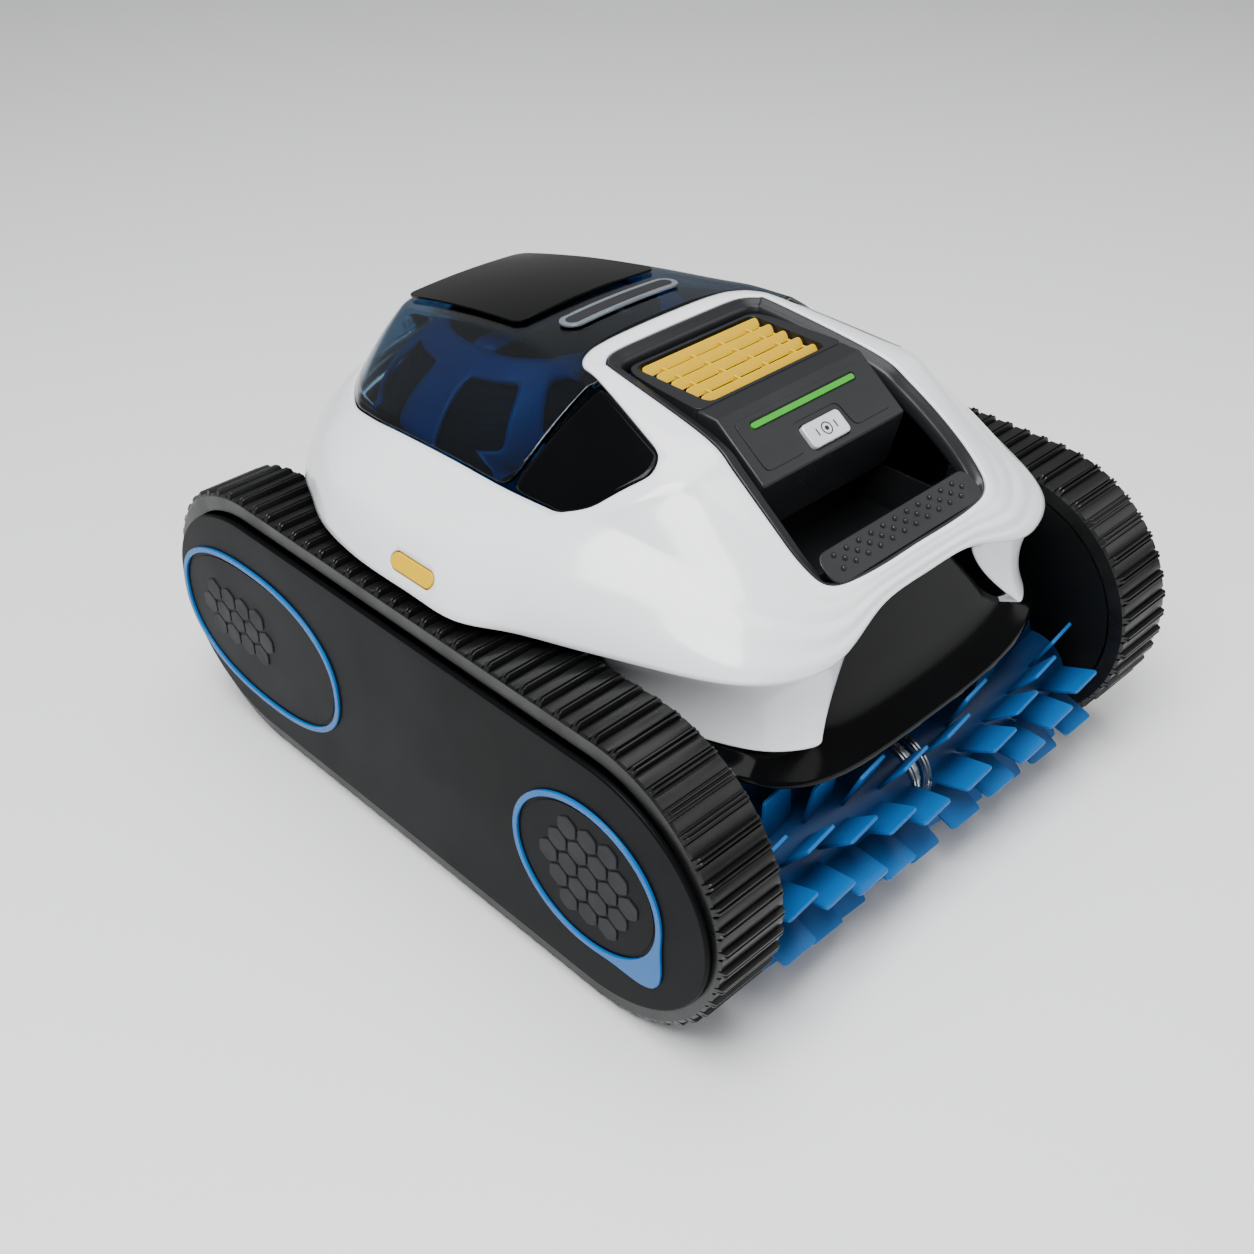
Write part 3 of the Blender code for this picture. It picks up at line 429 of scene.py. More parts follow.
FINISHES = {
    # High-gloss moulded ABS: mirror-like with a faint orange peel 6 mm across.
    "white_shell": surface("gloss_white_abs", "#F2F4F7", 0.16, "#EBEEF3", 90, 6.0, 0.02, 0.04,
                           Coat_Weight=0.4, Coat_Roughness=0.06),
    # Polished tinted polycarbonate: clear dark blue, so what is inside shows deep and cool.
    "tinted_dome": surface("tinted_polycarbonate", "#6C8CA6", 0.04, "#66859F", 80, 9.0, 0.01, 0.02,
                           Transmission_Weight=1.0, IOR=1.4),
    # Polished black polycarbonate: deep black with sharp reflections.
    "black_gloss": surface("piano_black_polycarbonate", "#030304", 0.1, "#050607", 70, 8.0, 0.012, 0.03,
                           Specular_IOR_Level=0.12),
    # Silver lacquer on ABS: soft metallic grey.
    "badge_silver": surface("silver_lacquered_abs", "#8B949C", 0.28, "#7C858E", 12, 0.5, 0.004, 0.06,
                            Metallic=0.5),
    # Spark-eroded moulded ABS: satin charcoal with a 0.7 mm grain.
    "charcoal_satin": surface("charcoal_textured_abs", "#0C0D0E", 0.34, "#090A0B", 45, 0.7, 0.02, 0.05,
                              Specular_IOR_Level=0.05),
    # The same charcoal ABS, a little glossier, painted lighter on the controls, trim and grip as painted
    # light where these parts catch more light.
    "charcoal_satin_painted_light": surface("charcoal_abs_painted_light", "#222326", 0.3, "#1D1E20", 40, 0.9, 0.012, 0.05,
                             Specular_IOR_Level=0.3),
    # Plain moulded black ABS: smooth satin black.
    "black_moulded": surface("black_moulded_abs", "#0A0B0C", 0.36, "#0E0F10", 50, 1.2, 0.02, 0.06,
                             Specular_IOR_Level=0.25),
    # Mid grey moulded ABS: matt inserts.
    "grey_moulded": surface("grey_moulded_abs", "#2E2F32", 0.48, "#28292B", 18, 0.6, 0.03, 0.06,
                            Specular_IOR_Level=0.08),
    # Compression-moulded rubber: black, slightly shiny on the crests, dull where it flexes.
    "track_rubber": surface("moulded_track_rubber", "#0C0D0D", 0.34, "#121212", 25, 1.0, 0.04, 0.1,
                            Specular_IOR_Level=0.4),
    # Gloss moulded ABS in bright blue: clean accent rings.
    "blue_trim": surface("gloss_blue_abs", "#0066AC", 0.24, "#005CA0", 40, 4.0, 0.01, 0.04,
                         Specular_IOR_Level=0.3),
    "brush_rubber": brush_rubber(),
    # Satin moulded ABS in deep blue: the basket seen through the lid.
    "blue_basket": surface("satin_blue_abs", "#0A6CB4", 0.34, "#085FA2", 45, 1.0, 0.02, 0.06),
    "filter_mesh": filter_cloth(),
    # Satin moulded ABS in yellow: even colour, softly shiny.
    "yellow_moulded": surface("satin_yellow_abs", "#DDB200", 0.38, "#D5AA00", 30, 0.9, 0.015, 0.05,
                              Specular_IOR_Level=0.25),
    # Frosted polycarbonate light guide: green, and it glows faintly.
    "green_light": surface("frosted_green_light_guide", "#2F9A20", 0.3, "#288E1B", 10, 0.6, 0.01, 0.04,
                           Emission_Color=linear("#4FB83C"), Emission_Strength=0.05),
    # Pearl silver lacquer: pale and softly bright.
    "silver_button": surface("pearl_lacquered_abs", "#D3D6D8", 0.26, "#C8CBCE", 14, 0.5, 0.003, 0.05,
                             Metallic=0.25),
    "stainless_steel": turned_steel(),
    # Zinc-plated pressed steel: motor cans.
    "motor_can": surface("zinc_plated_steel", "#8B9096", 0.38, "#7C8188", 15, 0.8, 0.01, 0.08,
                         Metallic=1.0),
    # Plain green heat-shrink film round the cells.
    "battery_wrap": surface("heat_shrink_film", "#24443A", 0.3, "#1E3A31", 30, 5.0, 0.05, 0.06),
}

for part in frame["record"]["subparts"]:
    node = frame["nodes"][part["node"]]
    node.data.materials.clear()
    node.data.materials.append(FINISHES[part["material_slot"]])


# ---------------------------------------------------------------- body surface

def roof_height(x, y):
    """Height of the body's roof behind the trim opening."""
    fall = max(y - 6.5, 0)
    return 268.0 - 0.06 * fall - 0.00062 * fall * fall - 0.0008 * x * x


def between(keys):
    """Smooth in-between points of a row of key points."""
    keys = [Vector(k) for k in keys]
    row = []
    for k in range(len(keys) - 1):
        a, b = keys[k], keys[k + 1]
        leave = (b - keys[max(k - 1, 0)]) * 0.5
        arrive = (keys[min(k + 2, len(keys) - 1)] - a) * 0.5
        for i in range(SPOKES):
            t = i / SPOKES
            row.append(a * (2 * t**3 - 3 * t**2 + 1) + leave * (t**3 - 2 * t**2 + t)
                       + b * (3 * t**2 - 2 * t**3) + arrive * (t**3 - t**2))
    row.append(keys[-1])
    return row


LINES = {name: between(keys) for name, keys in KEYS.items()}
LAST = len(LINES["T"]) - 1
WINDOW, SPLIT = WINDOW_KEY * SPOKES, SPLIT_KEY * SPOKES
CORNER = 11.0            # rounding of the side window's front corners
ACROSS = 6               # rows over the window band


def mirrored(points):
    """A half row joined to its -X copy, as a closed row."""
    return list(points) + [Vector((-p[0], *p[1:])) for p in reversed(points[1:-1])]


def both_sides(points):
    """An open row from its -X end, through its last point on the middle plane, to its +X end."""
    return [Vector((-p[0], *p[1:])) for p in points] + list(reversed(points[:-1]))


def pulled(point, towards, distance=SEAM):
    """A point moved towards another, at most half of the way."""
    way = towards - point
    return point + way.normalized() * min(distance, way.length / 2)


def window_point(i, share):
    """A point of the window band on spoke i, from its upper edge (share 0) to its lower edge (1)."""
    top, low = LINES["W"][i], LINES["C"][i]
    half = (low - top).length / 2
    reach = abs(2 * share - 1) * half
    into = min(max((reach - half + CORNER) / CORNER, 0), 1)
    weight = {0: 1.0, 1: 0.55, 2: 0.2}.get(abs(i - WINDOW), 0.0)
    back = CORNER * (1 - math.sqrt(1 - into * into)) * weight

    def along(line):
        return (LINES[line][min(i + 1, LAST)] - LINES[line][max(i - 1, 0)]).normalized()
    point = top.lerp(low, share) + along("W").lerp(along("C"), share) * back
    swell = 3.2 if i >= WINDOW else 3.2 * max(0.0, 1 - (WINDOW - i) / (2 * SPOKES)) + 0.6
    return point + Vector((0.62, 0.0, 0.78)) * swell * 4 * share * (1 - share)


def shell_rows():
    """Rows over the white shell, from the trim opening to the bottom edge."""
    def middle(upper, lower, share, swell):
        row = []
        for i in range(LAST + 1):
            a, b = LINES[upper][i], LINES[lower][i]
            along = LINES[lower][min(i + 1, LAST)] - LINES[lower][max(i - 1, 0)]
            out = along.cross(a - b).normalized()
            row.append(a.lerp(b, share) + out * swell * 4 * share * (1 - share))
        return row
    rows = [LINES["T"], middle("T", "W", 0.5, 0.7)]
    for k in range(ACROSS + 1):
        rows.append([window_point(i, k / ACROSS) for i in range(LAST + 1)])
    rows += [middle("C", "D", 0.5, 1.6), LINES["D"], middle("D", "E", 0.5, 2.2), LINES["E"]]
    return rows


def make_shell():
    bm, rings = swept([mirrored(row) for row in shell_rows()])
    count = len(rings[0])
    hole = {v for ring in rings[2:3 + ACROSS] for i, v in enumerate(ring) if min(i, count - i) >= WINDOW}
    bmesh.ops.delete(bm, geom=[f for f in bm.faces if set(f.verts) <= hole], context="FACES")
    crease = bm.edges.layers.float.new("crease_edge")
    shoulder = rings[4 + ACROSS]
    for i, vert in enumerate(shoulder):
        other = shoulder[(i + 1) % count]
        edge = bm.edges.get((vert, other))
        half = min(i, count - i) / SPOKES
        if edge and half > 5:
            edge[crease] = 0.35
    slots = [cutter(placed(plate(rounded(17.2, 5.2, 5.1), "Z", -9, 6), release_frame(side)))
             for side in (-1, 1)]
    make("shell_cover", bm, "white_shell", "chassis", ["upper_shell"], wall=SHELL_WALL, smooth=2, up=True,
         cuts=slots)
    for side in (-1, 1):
        parts = [box(sided(side, x, x + 5), (204.2, 212.5), (194, 209)) for x in (6, 21)]
        make("hinge_lugs_" + side_name(side), joined(*parts), "white_shell", "chassis", bevel=0.8)


def release_frame(side):
    """The side release button's own frame, out of the pod wall."""
    turn = Matrix(((0, side * -0.524, side * 0.852), (1, 0, 0), (0, 0.852, 0.524))).to_4x4()
    return Matrix.Translation((side * 181.6, 0, 190)) @ turn


def make_release(side):
    end = side_name(side)
    pill = placed(plate(rounded(16.5, 4.5, 4.4, 8), "Z", -3.5, 2.4), release_frame(side))
    make("release_pill_" + end, pill, "yellow_moulded", "release_button_" + end,
         ["release_button_" + end], bevel=0.9)


def lid_rows():
    """Half rows over the tinted lid, from its upper edge to its lower edge."""
    rim = [Vector((p.x, p.y, roof_height(p.x, p.y) - 0.5))
           for p in between([(x, y, 0) for x, y in ROOF_EDGE])]
    spokes = range(SPLIT, LAST + 1)
    tops, lows = [LINES["W"][i] for i in spokes], [LINES["C"][i] for i in spokes]
    rows = []
    for share in (0.0, 0.08, 0.25, 0.5, 0.75, 1.0):
        row = []
        for top, edge in zip(tops, rim):
            point = top.lerp(edge, share)
            if 0 < share < 1:
                point.z = roof_height(point.x, point.y)
            row.append(point)
        rows.append(row)
    rows.insert(-1, [pulled(edge, inner, 6.0) for edge, inner in zip(rim, rows[-2])])
    across = [edge.lerp(low, 0.5) + Vector((0, 0, 3.5)) for edge, low in zip(rim, lows)]
    rows += [[pulled(edge, mid, 7.0) for edge, mid in zip(rim, across)], across, lows]
    rows[0] = [pulled(p, q) for p, q in zip(rows[0], rows[1])]
    rows[-1] = [pulled(p, q) for p, q in zip(rows[-1], rows[-2])]
    for row in rows:
        row[0] = pulled(row[0], row[1])
    return rows


def make_lid():
    bm, _ = swept([both_sides(row) for row in lid_rows()], closed=False)
    make("dome_window", bm, "tinted_dome", "lid", ["dome_lid"], wall=LID_WALL, smooth=2, up=True)
    parts = [box(sided(side, 12, 20), (199, 212), (204, 209)) for side in (-1, 1)]
    make("lid_hinge_lugs", joined(*parts), "black_gloss", "lid", bevel=0.8)
    laid_on_roof("roof_panel", 54.0, 46.0, 62.0, 174.0, 7.0, 2.3, "black_gloss", "lid_panel", 0.5)
    laid_on_roof("badge_pill", 43.0, 43.0, 30.0, 46.0, 7.9, 2.2, "badge_silver", "badge_strip", 0.5)
    laid_on_roof("badge_field", 39.5, 39.5, 33.4, 42.6, 4.5, 2.45, "grey_moulded", "", 0.2)


def laid_on_roof(name, front_half, rear_half, front, rear, radius, top, finish, node, bevel):
    """A thin plate with rounded corners that follows the roof, its top at a height over it."""
    depth = rear - front
    stops = [radius * (1 - math.cos(math.pi / 2 * i / 6)) for i in range(7)]
    if depth > 2 * radius + 1:
        stops += [radius + (depth - 2 * radius) * i / 10 for i in range(1, 10)]
    stops += [depth - s for s in stops[6::-1]]
    rows = []
    for stop in stops:
        y = front + stop
        half = front_half + (rear_half - front_half) * stop / depth
        near = min(stop, depth - stop)
        half -= radius - math.sqrt(max(radius ** 2 - max(radius - near, 0) ** 2, 0))
        rows.append([(half * (2 * i / 16 - 1), y, roof_height(half * (2 * i / 16 - 1), y) + top)
                     for i in range(17)])
    bm, _ = swept(rows, closed=False)
    make(name, bm, finish, "lid", [node] if node else [], wall=1.4, up=True, bevel=bevel)


def make_side_window(side):
    """Gloss side window between the white shell's window edge and the tinted lid."""
    rows = []
    for k in range(ACROSS + 1):
        row = [window_point(i, k / ACROSS) for i in range(WINDOW, SPLIT + 1)]
        row[0], row[-1] = pulled(row[0], row[1]), pulled(row[-1], row[-2])
        rows.append(row)
    rows[0] = [pulled(p, q) for p, q in zip(rows[0], rows[1])]
    rows[-1] = [pulled(p, q) for p, q in zip(rows[-1], rows[-2])]
    rows = [[Vector((side * p.x, p.y, p.z)) for p in row] for row in rows]
    bm, _ = swept(rows, closed=False)
    end = side_name(side)
    make("window_pane_" + end, bm, "black_gloss", "chassis", ["side_window_" + end], wall=2.0, smooth=2,
         up=True)


def plan_inset(points, inset):
    """Points of a closed plan outline moved in by a distance, square to the outline."""
    moved = []
    count = len(points)
    for i, p in enumerate(points):
        before, after = Vector(points[i - 1][:2]), Vector(points[(i + 1) % count][:2])
        along = (after - before).normalized()
        moved.append((p[0] - along.y * inset, p[1] + along.x * inset, *p[2:]))
    return moved


def make_trim():
    """Charcoal frame in the shell's opening: a rolled lip, a hollow slope and a turned-down inner edge."""
    opening = mirrored([tuple(p) for p in LINES["T"]])
    rows = []
    for inset, drop in ((0.9, 2.2), (0.9, 0.6), (1.4, 0.0), (2.4, 0.1), (4.2, 1.3), (6.0, 2.1),
                        (7.2, 2.4), (8.3, 3.4), (9.0, 6.0), (9.1, 13.0), (5.2, 13.0), (3.6, 4.0)):
        rows.append([(x, y, z - drop) for x, y, z in plan_inset(opening, inset)])
    bm, _ = swept(rows, tube=True)
    make("trim_surround", bm, "charcoal_satin_painted_light", "chassis", ["trim_frame"], smooth=1)


def between_rows(rows, count):
    """Rows of points with more rows between them."""
    more = []
    for a, b in zip(rows, rows[1:]):
        more += [[Vector(p).lerp(Vector(q), k / count) for p, q in zip(a, b)] for k in range(count)]
    return more + [[Vector(p) for p in rows[-1]]]


# Half rows of the front hood from its lower lip up, and the white corner lip's upper and lower edges.
HOOD_ROWS = [
    [(0, -196, 104), (60, -196, 104), (100, -193, 114),
     (124, -179, 124), (136, -150, 127), (140, -118, 127)],
    [(0, -183, 124), (60, -182.5, 125), (88, -179, 132),
     (108, -165, 134), (121, -144, 134), (126, -116, 134)],
    [(0, -174, 155), (50, -173, 155), (80, -172, 155),
     (101, -160, 156), (115, -142, 156), (121, -119, 156)],
    [(0, -166, 185), (46, -165, 185), (68, -164, 181),
     (92, -154, 173), (108, -139, 173), (116, -120, 173)],
]
FENDER_TOP = [(83, -186.5), (103, -181.5), (119, -170), (133, -147), (147, -110), (149, -94)]
FENDER_LOW = [(86, -192.5), (100, -184), (113, -172), (124, -147), (131, -124), (134, -98)]


def make_hood():
    rows = [both_sides(list(reversed([Vector(p) for p in row]))) for row in HOOD_ROWS]
    bm, _ = swept(between_rows(rows, 2), closed=False)
    make("brush_hood", bm, "black_gloss", "chassis", ["front_hood"], wall=2.5, smooth=2, up=True)


def make_fender(side):
    """White lip under the shell's front corner, with the leg that comes down beside the hood."""
    top = [Vector((side * x, y, 176.6)) for x, y in FENDER_TOP]
    low = [Vector((side * x, y, 134.0)) for x, y in FENDER_LOW]
    top.insert(0, Vector((side * 46.0, -178.0, 185.6)))
    low.insert(0, Vector((side * 84.0, -188.5, 136.0)))
    rows = []
    for share in (0.0, 0.06, 0.3, 0.6, 0.85, 1.0):
        hollow = 6.0 * 4 * share * (1 - share)
        rows.append([a.lerp(b, share) + Vector((-side * hollow * 0.7, hollow * 0.7, 0))
                     for a, b in zip(low, top)])
    bm, _ = swept(rows, closed=False)
    end = side_name(side)
    piece = make("corner_lip_" + end, bm, "white_shell", "chassis", ["fender_" + end], wall=2.4, smooth=2,
                 up=True)
    if sum((f.normal.x * side - f.normal.y) * f.area for f in piece.data.polygons) < 0:
        piece.data.flip_normals()


# ---------------------------------------------------------------- controls and handle

def panel_frame(across=0.0, down=0.0, out=0.0):
    """A frame on the control panel: X across, Y up the slope, Z out of it."""
    turn = Matrix((Vector((1, 0, 0)), PANEL_UP, PANEL_NORMAL)).transposed().to_4x4()
    spot = PANEL_MIDDLE + Vector((across, 0, 0)) - PANEL_UP * down + PANEL_NORMAL * out
    return Matrix.Translation(spot) @ turn


def make_controls():
    side_view = [(-73.2, 261.6), (-87, 261.4), (-120, 237.4), (-112, 203), (-100, 203), (-92, 232),
                 (-73.2, 250)]
    cuts = [cutter(placed(plate(rounded(40.5, 2.2, 2.1), "Z", -2.2, 4), panel_frame(down=-9.5))),
            cutter(placed(plate(rounded(15.2, 7.7, 3.2), "Z", -5.5, 4), panel_frame(down=9)))]
    make("control_wedge", plate(side_view, "X", -56.4, 56.4), "charcoal_satin_painted_light", "chassis",
         ["control_housing"], bevel=1.6, cuts=cuts)
    outline = [(-56.2, -75), (56.2, -75), (53.5, -40), (51.5, -24), (46.5, -17),
               (-46.5, -17), (-51.5, -24), (-53.5, -40)]
    hole = softened([(-45.8, -72.8), (45.8, -72.8), (45.8, -19.2), (-45.8, -19.2)], 6)
    make("grille_surround", plate(softened(outline, 5), "Z", 254.5, 262.2, [hole]), "charcoal_satin_painted_light",
         "chassis", bevel=1.2)
    outline = softened([(-49, 15.2), (-49, -14.5), (-20, -14.5), (-18, 1.4), (18, 1.4), (20, -14.5),
                        (49, -14.5), (49, 15.2)], 4.0)
    slot = [(x, y + 9.5) for x, y in rounded(41.0, 2.7, 2.6)]
    face = placed(plate(outline, "Z", 0.05, 0.7, [slot]), panel_frame())
    make("control_face", face, "charcoal_satin_painted_light", "chassis", bevel=0.3)
    light = placed(plate(rounded(40.0, 1.7, 1.6), "Z", -1.7, 1.0), panel_frame(down=-9.5))
    make("light_strip", light, "green_light", "chassis", ["light_bar"], bevel=0.4)
    button = placed(plate(rounded(14.5, 7.0, 2.8), "Z", -2.6, 2.2), panel_frame(down=9))
    make("power_key", button, "silver_button", "power_button", ["power_button"], bevel=0.9)
    marks = [placed(plate(circle(0, 0, 3.6), "Z", 2.15, 2.4, [circle(0, 0, 3.0)]), panel_frame(down=9)),
             placed(plate(circle(0, 0, 1.3, 24), "Z", 2.15, 2.4), panel_frame(down=9))]
    marks += [placed(plate(rounded(0.35, 2.2, 0.3, 3), "Z", 2.15, 2.4), panel_frame(across=x, down=9))
              for x in (-7, 7)]
    make("power_key_mark", joined(*marks), "grey_moulded", "power_button")


def make_grille():
    """Yellow louvres that lean back, tied by low ribs."""
    half, front, rear = 44.6, -72.0, -20.0
    count, depth = 5, 3.1
    pitch = (rear - front) / count
    blades = []
    for i in range(count):
        y = front + pitch * (i + 0.5)
        outline = softened([(-half, -depth), (half, -depth), (half, depth), (-half, depth)], 2.8)
        blade = plate(outline, "Z", -0.5, 0.5)
        lean = Matrix.Translation((0, y, 259.0 + 0.3 * i)) @ Matrix.Rotation(math.radians(56), 4, "X")
        blades.append(placed(blade, lean))
    for x in (-34, -12, 10, 32):
        for i in range(count - 1):
            y = front + pitch * (i + 1)
            blades.append(box((x - 0.7, x + 0.7), (y - 4.2, y + 3.0), (255.6, 260.2 + 0.3 * i)))
    for low, high in (((-half, front), (half, front + 1.6)), ((-half, rear - 1.6), (half, rear)),
                      ((-half, front), (-half + 1.6, rear)), ((half - 1.6, front), (half, rear))):
        blades.append(box((low[0], high[0]), (low[1], high[1]), (255.0, 258.0)))
    make("grille_louvres", joined(*blades), "yellow_moulded", "chassis", ["exhaust_grille"], bevel=0.35)


def make_grip():
    """Soft strip along the front bar, with three staggered rows of round bumps."""
    slope = math.atan(0.647)
    place = Matrix.Translation((0, -165.2, 211.8)) @ Matrix.Rotation(slope, 4, "X")
    pad = placed(plate(rounded(61, 9.3, 7.0), "Z", -1.6, 0.0), place)
    make("grip_strip", pad, "charcoal_satin_painted_light", "chassis", ["grip_pad"], bevel=0.6)
    bumps = bmesh.new()
    for row in range(3):
        for column in range(11):
            across = (column - 5 + (row % 2) * 0.5 - 0.25) * 9.6
            spot = place @ Matrix.Translation((across, (row - 1) * 3.9 + 1.2, 0))
            made = bmesh.ops.create_icosphere(bumps, subdivisions=2, radius=1.55)["verts"]
            bmesh.ops.transform(bumps, matrix=spot, verts=made)
    make("grip_bumps", bumps, "charcoal_satin_painted_light", "chassis")


# ---------------------------------------------------------------- tracks

def stadium(radius, steps=32, reach=0.0):
    """Outline round both wheel centres; reach is how far past a wheel centre it goes."""
    reach = reach or radius
    points = []
    for sign in (1, -1):
        for i in range(steps + 1):
            angle = math.pi * (i / steps - 0.5)
            points.append((sign * (WHEEL_Y + reach * math.cos(angle)),
                           AXLE_Z + sign * radius * math.sin(angle)))
    return points


def track_point(distance, radius):
    """The point at a distance along the belt's pitch line, at a radius from the wheel centres."""
    straight = 2 * WHEEL_Y
    arc = math.pi * BELT_PAD_RADIUS
    distance %= 2 * (straight + arc)
    sign = 1
    if distance >= straight + arc:
        distance -= straight + arc
        sign = -1
    if distance < straight:
        return sign * (distance - WHEEL_Y), AXLE_Z - sign * radius
    angle = (distance - straight) / BELT_PAD_RADIUS - math.pi / 2
    return sign * (WHEEL_Y + radius * math.cos(angle)), AXLE_Z + sign * radius * math.sin(angle)


def make_belt(side):
    """The belt: flat pads, and pairs of thin ribs with rounded ends between them."""
    pitch = 2 * (2 * WHEEL_Y + math.pi * BELT_PAD_RADIUS) / PITCHES
    profile = [(0.03, -1.6), (0.06, -0.2), (0.12, 0.0), (0.48, 0.0), (0.54, -0.2), (0.57, -1.6),
               (0.62, -1.6), (0.645, 2.0), (0.665, 2.4), (0.72, 2.4), (0.74, 2.0), (0.765, 0.2),
               (0.80, 0.2), (0.825, 2.0), (0.845, 2.4), (0.90, 2.4), (0.92, 2.0), (0.945, -1.6)]
    base = -3.2

    def row(x, most, least=-1.6):
        return [(x, *track_point((i + share) * pitch, BELT_PAD_RADIUS + min(max(height, least), most)))
                for i in range(PITCHES) for share, height in profile]
    low, high = sided(side, BELT_LOW.x, BELT_HIGH.x)
    rows = [row(low, base, base), row(low, -1.6), row(low + 0.9, 0.0), row(low + 1.6, 1.6),
            row(low + 2.6, 2.4), row(high - 2.6, 2.4), row(high - 1.6, 1.6), row(high - 0.9, 0.0),
            row(high, -1.6), row(high, base, base)]
    inside = BELT_INSIDE - BELT_PAD_RADIUS
    rows += [row(high, inside, inside), row(low, inside, inside)]
    bm, _ = swept(rows, tube=True)
    end = side_name(side)
    make("rubber_belt_" + end, bm, "track_rubber", "chassis", ["track_belt_" + end], sharp=28)


def tail(angle):
    """How far the front ring swells out at an angle round it, towards the front and down."""
    return 13.0 * math.exp(-((angle - math.radians(222)) / 0.33) ** 2)


def hex_cells(side, middle, half_y, half_z, pitch):
    """Raised hexagonal cells in an oval field on the side cover."""
    low, high = sided(side, COVER_HIGH.x - 0.2, COVER_HIGH.x + 1.1)
    cells = []
    for row in range(-3, 4):
        for column in range(-4, 5):
            y = (column + 0.5 * (row % 2)) * pitch
            z = row * pitch * math.sqrt(3) / 2
            if (y / half_y) ** 2 + (z / half_z) ** 2 > 1:
                continue
            radius = pitch * 0.515
            outline = [(middle[0] + y + radius * math.sin(math.pi / 3 * i),
                        middle[1] + z + radius * math.cos(math.pi / 3 * i)) for i in range(6)]
            cells.append(plate(softened(outline, 1.4, 2), "X", low, high))
    return joined(*cells)


def make_track_side(side):
    end = side_name(side)
    low, high = sided(side, COVER_LOW.x, COVER_HIGH.x)
    cover = plate(stadium(71.5, 40, 80.0), "X", low, high)
    make("track_cover_" + end, cover, "charcoal_satin", "chassis", ["side_cover_" + end], bevel=1.5)
    low, high = sided(side, COVER_HIGH.x - 0.2, 199.9)
    steps = 128
    front = [(2 * math.pi * i / steps) for i in range(steps)]
    inner = [(-WHEEL_Y + 48.6 * math.cos(a), AXLE_Z + 0.5 + 42.6 * math.sin(a)) for a in front]
    outer = [(-WHEEL_Y + (52.0 + tail(a)) * math.cos(a), AXLE_Z + 0.5 + (46.0 + tail(a)) * math.sin(a))
             for a in front]
    make("front_ring_" + end, plate(outer, "X", low, high, [inner]), "blue_trim", "chassis",
         ["ring_front_" + end], bevel=0.6)
    outer, inner = oval(138.5, 83, 79, 49.5, 2.3, 128), oval(138.5, 83, 75.6, 46.1, 2.3, 128)
    make("rear_ring_" + end, plate(outer, "X", low, high, [inner]), "blue_trim", "chassis",
         ["ring_rear_" + end], bevel=0.6)
    low, high = sided(side, COVER_HIGH.x - 0.2, COVER_HIGH.x + 0.35)
    for name, inside in (("front", inner_of(front)), ("rear", oval(138.5, 83, 73.4, 43.9, 2.3, 96))):
        make(name + "_disc_" + end, plate(inside, "X", low, high), "charcoal_satin", "chassis", bevel=0.25)
    make("front_cells_" + end, hex_cells(side, (-143.0, 88.0), 35, 33, 14.0), "grey_moulded", "chassis",
         ["hex_plate_front_" + end], bevel=0.35)
    make("rear_cells_" + end, hex_cells(side, (160.0, 84.0), 36, 25, 14.8), "grey_moulded", "chassis",
         ["hex_plate_rear_" + end], bevel=0.35)


def inner_of(angles):
    """Outline of the disc inside the front ring."""
    return [(-WHEEL_Y + 46.6 * math.cos(a), AXLE_Z + 0.5 + 40.6 * math.sin(a)) for a in angles]


# ---------------------------------------------------------------- brush

def make_brush(side):
    """A brush half: a ribbed hub with staggered, slightly leaning paddles."""
    end = side_name(side)
    low, high = span("brush_" + end)
    axis_y, axis_z = (low.y + high.y) / 2, (low.z + high.z) / 2
    near, far, hub_radius, tip = 3.5, 142.0, 22.0, 48.2
    profile = [(0.5, 0.5), (5.7, 0.5), (5.7, near), (hub_radius - 1, near), (hub_radius, near + 1),
               (hub_radius, far - 1), (hub_radius - 1, far), (6.0, far), (6.0, 154), (0.5, 154)]
    hub = turned([(r, side * x) for r, x in profile], "X", axis_y, axis_z)
    make("brush_hub_" + end, hub, "brush_rubber", "brush_" + end, ["brush_" + end])
    columns, rows = 5, 9
    width = (far - near - 4) / columns
    paddles = []
    for column in range(columns):
        middle = side * (near + 2 + (column + 0.5) * width)
        for row in range(rows):
            angle = 2 * math.pi * (row + 0.5 * (column % 2) + 0.2 * column) / rows
            half = width / 2 - 0.5
            outline = softened([(-half, -2), (half, -2), (half - 1.4, tip - hub_radius - 0.6),
                                (-half + 1.4, tip - hub_radius - 0.6)], 2.2, 3)
            blade = plate(outline, "Y", -0.95, 0.95)
            for vert in blade.verts:
                vert.co.y += 0.0045 * max(vert.co.z, 0) ** 2
            place = (Matrix.Translation((middle, axis_y, axis_z)) @ Matrix.Rotation(angle, 4, "X")
                     @ Matrix.Translation((0, 0, hub_radius)) @ Matrix.Rotation(math.radians(7), 4, "Z"))
            paddles.append(placed(blade, place))
    make("brush_paddles_" + end, joined(*paddles), "brush_rubber", "brush_" + end, bevel=0.35)
    rings = [turned([(hub_radius + 0.3, side * (x - 0.8)), (hub_radius + 1.6, side * (x - 0.5)),
                     (hub_radius + 1.6, side * (x + 0.5)), (hub_radius + 0.3, side * (x + 0.8))],
                    "X", axis_y, axis_z) for x in (4.6, 7.0)]
    make("brush_collar_" + end, joined(*rings), "stainless_steel", "brush_" + end)


# ---------------------------------------------------------------- basket

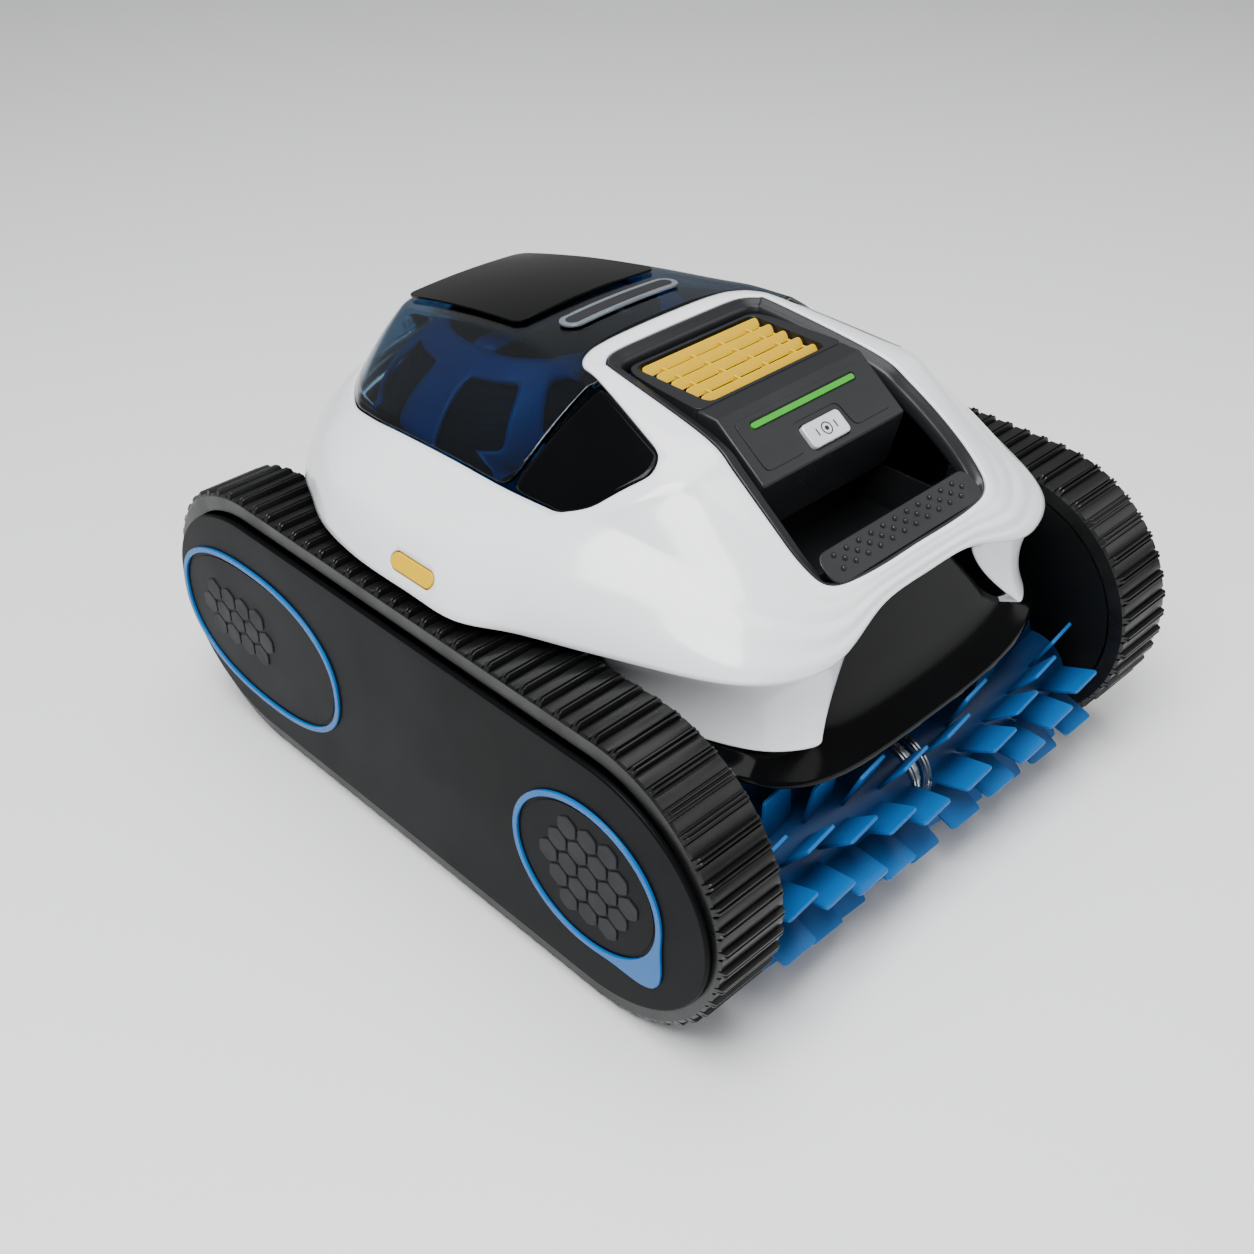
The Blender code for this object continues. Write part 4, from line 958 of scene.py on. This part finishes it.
def make_basket():
    """Blue cage of the basket's lid, with dark mesh behind its windows, and a lifting strap."""
    middle_y = (span("basket_lid")[0].y + span("basket_lid")[1].y) / 2
    steps = 72

    def ring(half_x, half_y, z):
        return [(x, y, z) for x, y in oval(0, middle_y, half_x, half_y, 2.6, steps)]
    levels = [(112, 78, 197), (112, 78, 203), (111, 77.4, 207), (107, 75, 215), (101, 71, 222),
              (92, 66, 229), (81, 61, 235.5), (70, 56, 240), (62, 50, 242)]
    bm, rings = swept([ring(*level) for level in levels])
    window = set()
    for k in range(8):
        first = int(k * steps / 8 + 2)
        for i in range(first, first + steps // 8 - 3):
            window |= {(level, i % steps) for level in range(2, 6)}
    gone = []
    for level, i in window:
        corners = (rings[level][i], rings[level][(i + 1) % steps],
                   rings[level + 1][(i + 1) % steps], rings[level + 1][i])
        face = bm.faces.get(corners)
        if face:
            gone.append(face)
    bmesh.ops.delete(bm, geom=gone, context="FACES")
    make("basket_cage", bm, "blue_basket", "basket", ["basket_lid"], wall=2.4, smooth=1, up=True)
    inner = [(hx - 4.5, hy - 4.5, z - 3.0) for hx, hy, z in levels[1:]]
    bm, _ = swept([ring(*level) for level in inner])
    make("basket_cloth", bm, "filter_mesh", "basket", wall=0.6, up=True)
    strap = []
    for k in range(13):
        t = k / 12
        x = -60 + 120 * t
        z = 243.5 - 0.0011 * x * x
        strap.append([(x, 80.0, z), (x, 98.0, z)])
    bm, _ = swept(strap, closed=False)
    make("basket_strap", bm, "blue_basket", "basket", wall=1.8, up=True, smooth=1)


# ---------------------------------------------------------------- stage

# Each light's name, place in metres, size in metres and power in watts.
LIGHTS = (("key", (-0.8, -0.3, 1.7), 1.0, 44), ("fill", (1.3, -1.2, 1.2), 1.4, 9),
          ("top", (0.1, 0.1, 2.2), 1.6, 34), ("low_front", (-1.3, -1.6, 0.8), 1.0, 5))
CAMERA_PLACE = (-0.55674, -0.53037, 0.62245)
CAMERA_ANGLES = (-44.753, 36.091, 0.245)         # azimuth, elevation and roll in degrees
LENS_MM, SENSOR_MM = 44.12, 36.0


def make_stage():
    """Pale floor, soft lights, and the camera above the front left corner."""
    mesh = bpy.data.meshes.new("floor")
    bm = bmesh.new()
    bmesh.ops.create_grid(bm, x_segments=1, y_segments=1, size=6)
    bm.to_mesh(mesh)
    bm.free()
    mesh.materials.append(surface("pale_floor", "#F4F5F6", 0.55, "#F0F1F3", 400))
    floor = bpy.data.objects.new("floor", mesh)
    bpy.context.scene.collection.objects.link(floor)

    world = bpy.data.worlds.new("studio")
    world.use_nodes = True
    world.node_tree.nodes["Background"].inputs["Color"].default_value = (1, 1, 1, 1)
    world.node_tree.nodes["Background"].inputs["Strength"].default_value = 0.3
    bpy.context.scene.world = world

    for name, place, size, power in LIGHTS:
        data = bpy.data.lights.new(name, "AREA")
        data.size = size
        data.energy = power
        light = bpy.data.objects.new(name, data)
        light.location = place
        light.rotation_euler = (Vector((0, 0, 0.1)) - Vector(place)).to_track_quat("-Z", "Y").to_euler()
        bpy.context.scene.collection.objects.link(light)

    azimuth, elevation, roll = map(math.radians, CAMERA_ANGLES)
    forward = Vector((-math.sin(azimuth) * math.cos(elevation), math.cos(azimuth) * math.cos(elevation),
                      -math.sin(elevation)))
    right = forward.cross(Vector((0, 0, 1))).normalized()
    up = right.cross(forward)
    right, up = (right * math.cos(roll) + up * math.sin(roll),
                 up * math.cos(roll) - right * math.sin(roll))
    data = bpy.data.cameras.new("camera")
    data.sensor_width = SENSOR_MM
    data.lens = LENS_MM
    camera = bpy.data.objects.new("camera", data)
    turn = Matrix((right, up, -forward)).transposed().to_4x4()
    camera.matrix_world = Matrix.Translation(CAMERA_PLACE) @ turn
    bpy.context.scene.collection.objects.link(camera)
    bpy.context.scene.camera = camera


make_stage()
make_shell()
make_lid()
make_trim()
make_hood()
make_controls()
make_grille()
make_grip()
make_basket()
for side in (-1, 1):
    make_release(side)
    make_side_window(side)
    make_fender(side)
    make_belt(side)
    make_track_side(side)
    make_brush(side)
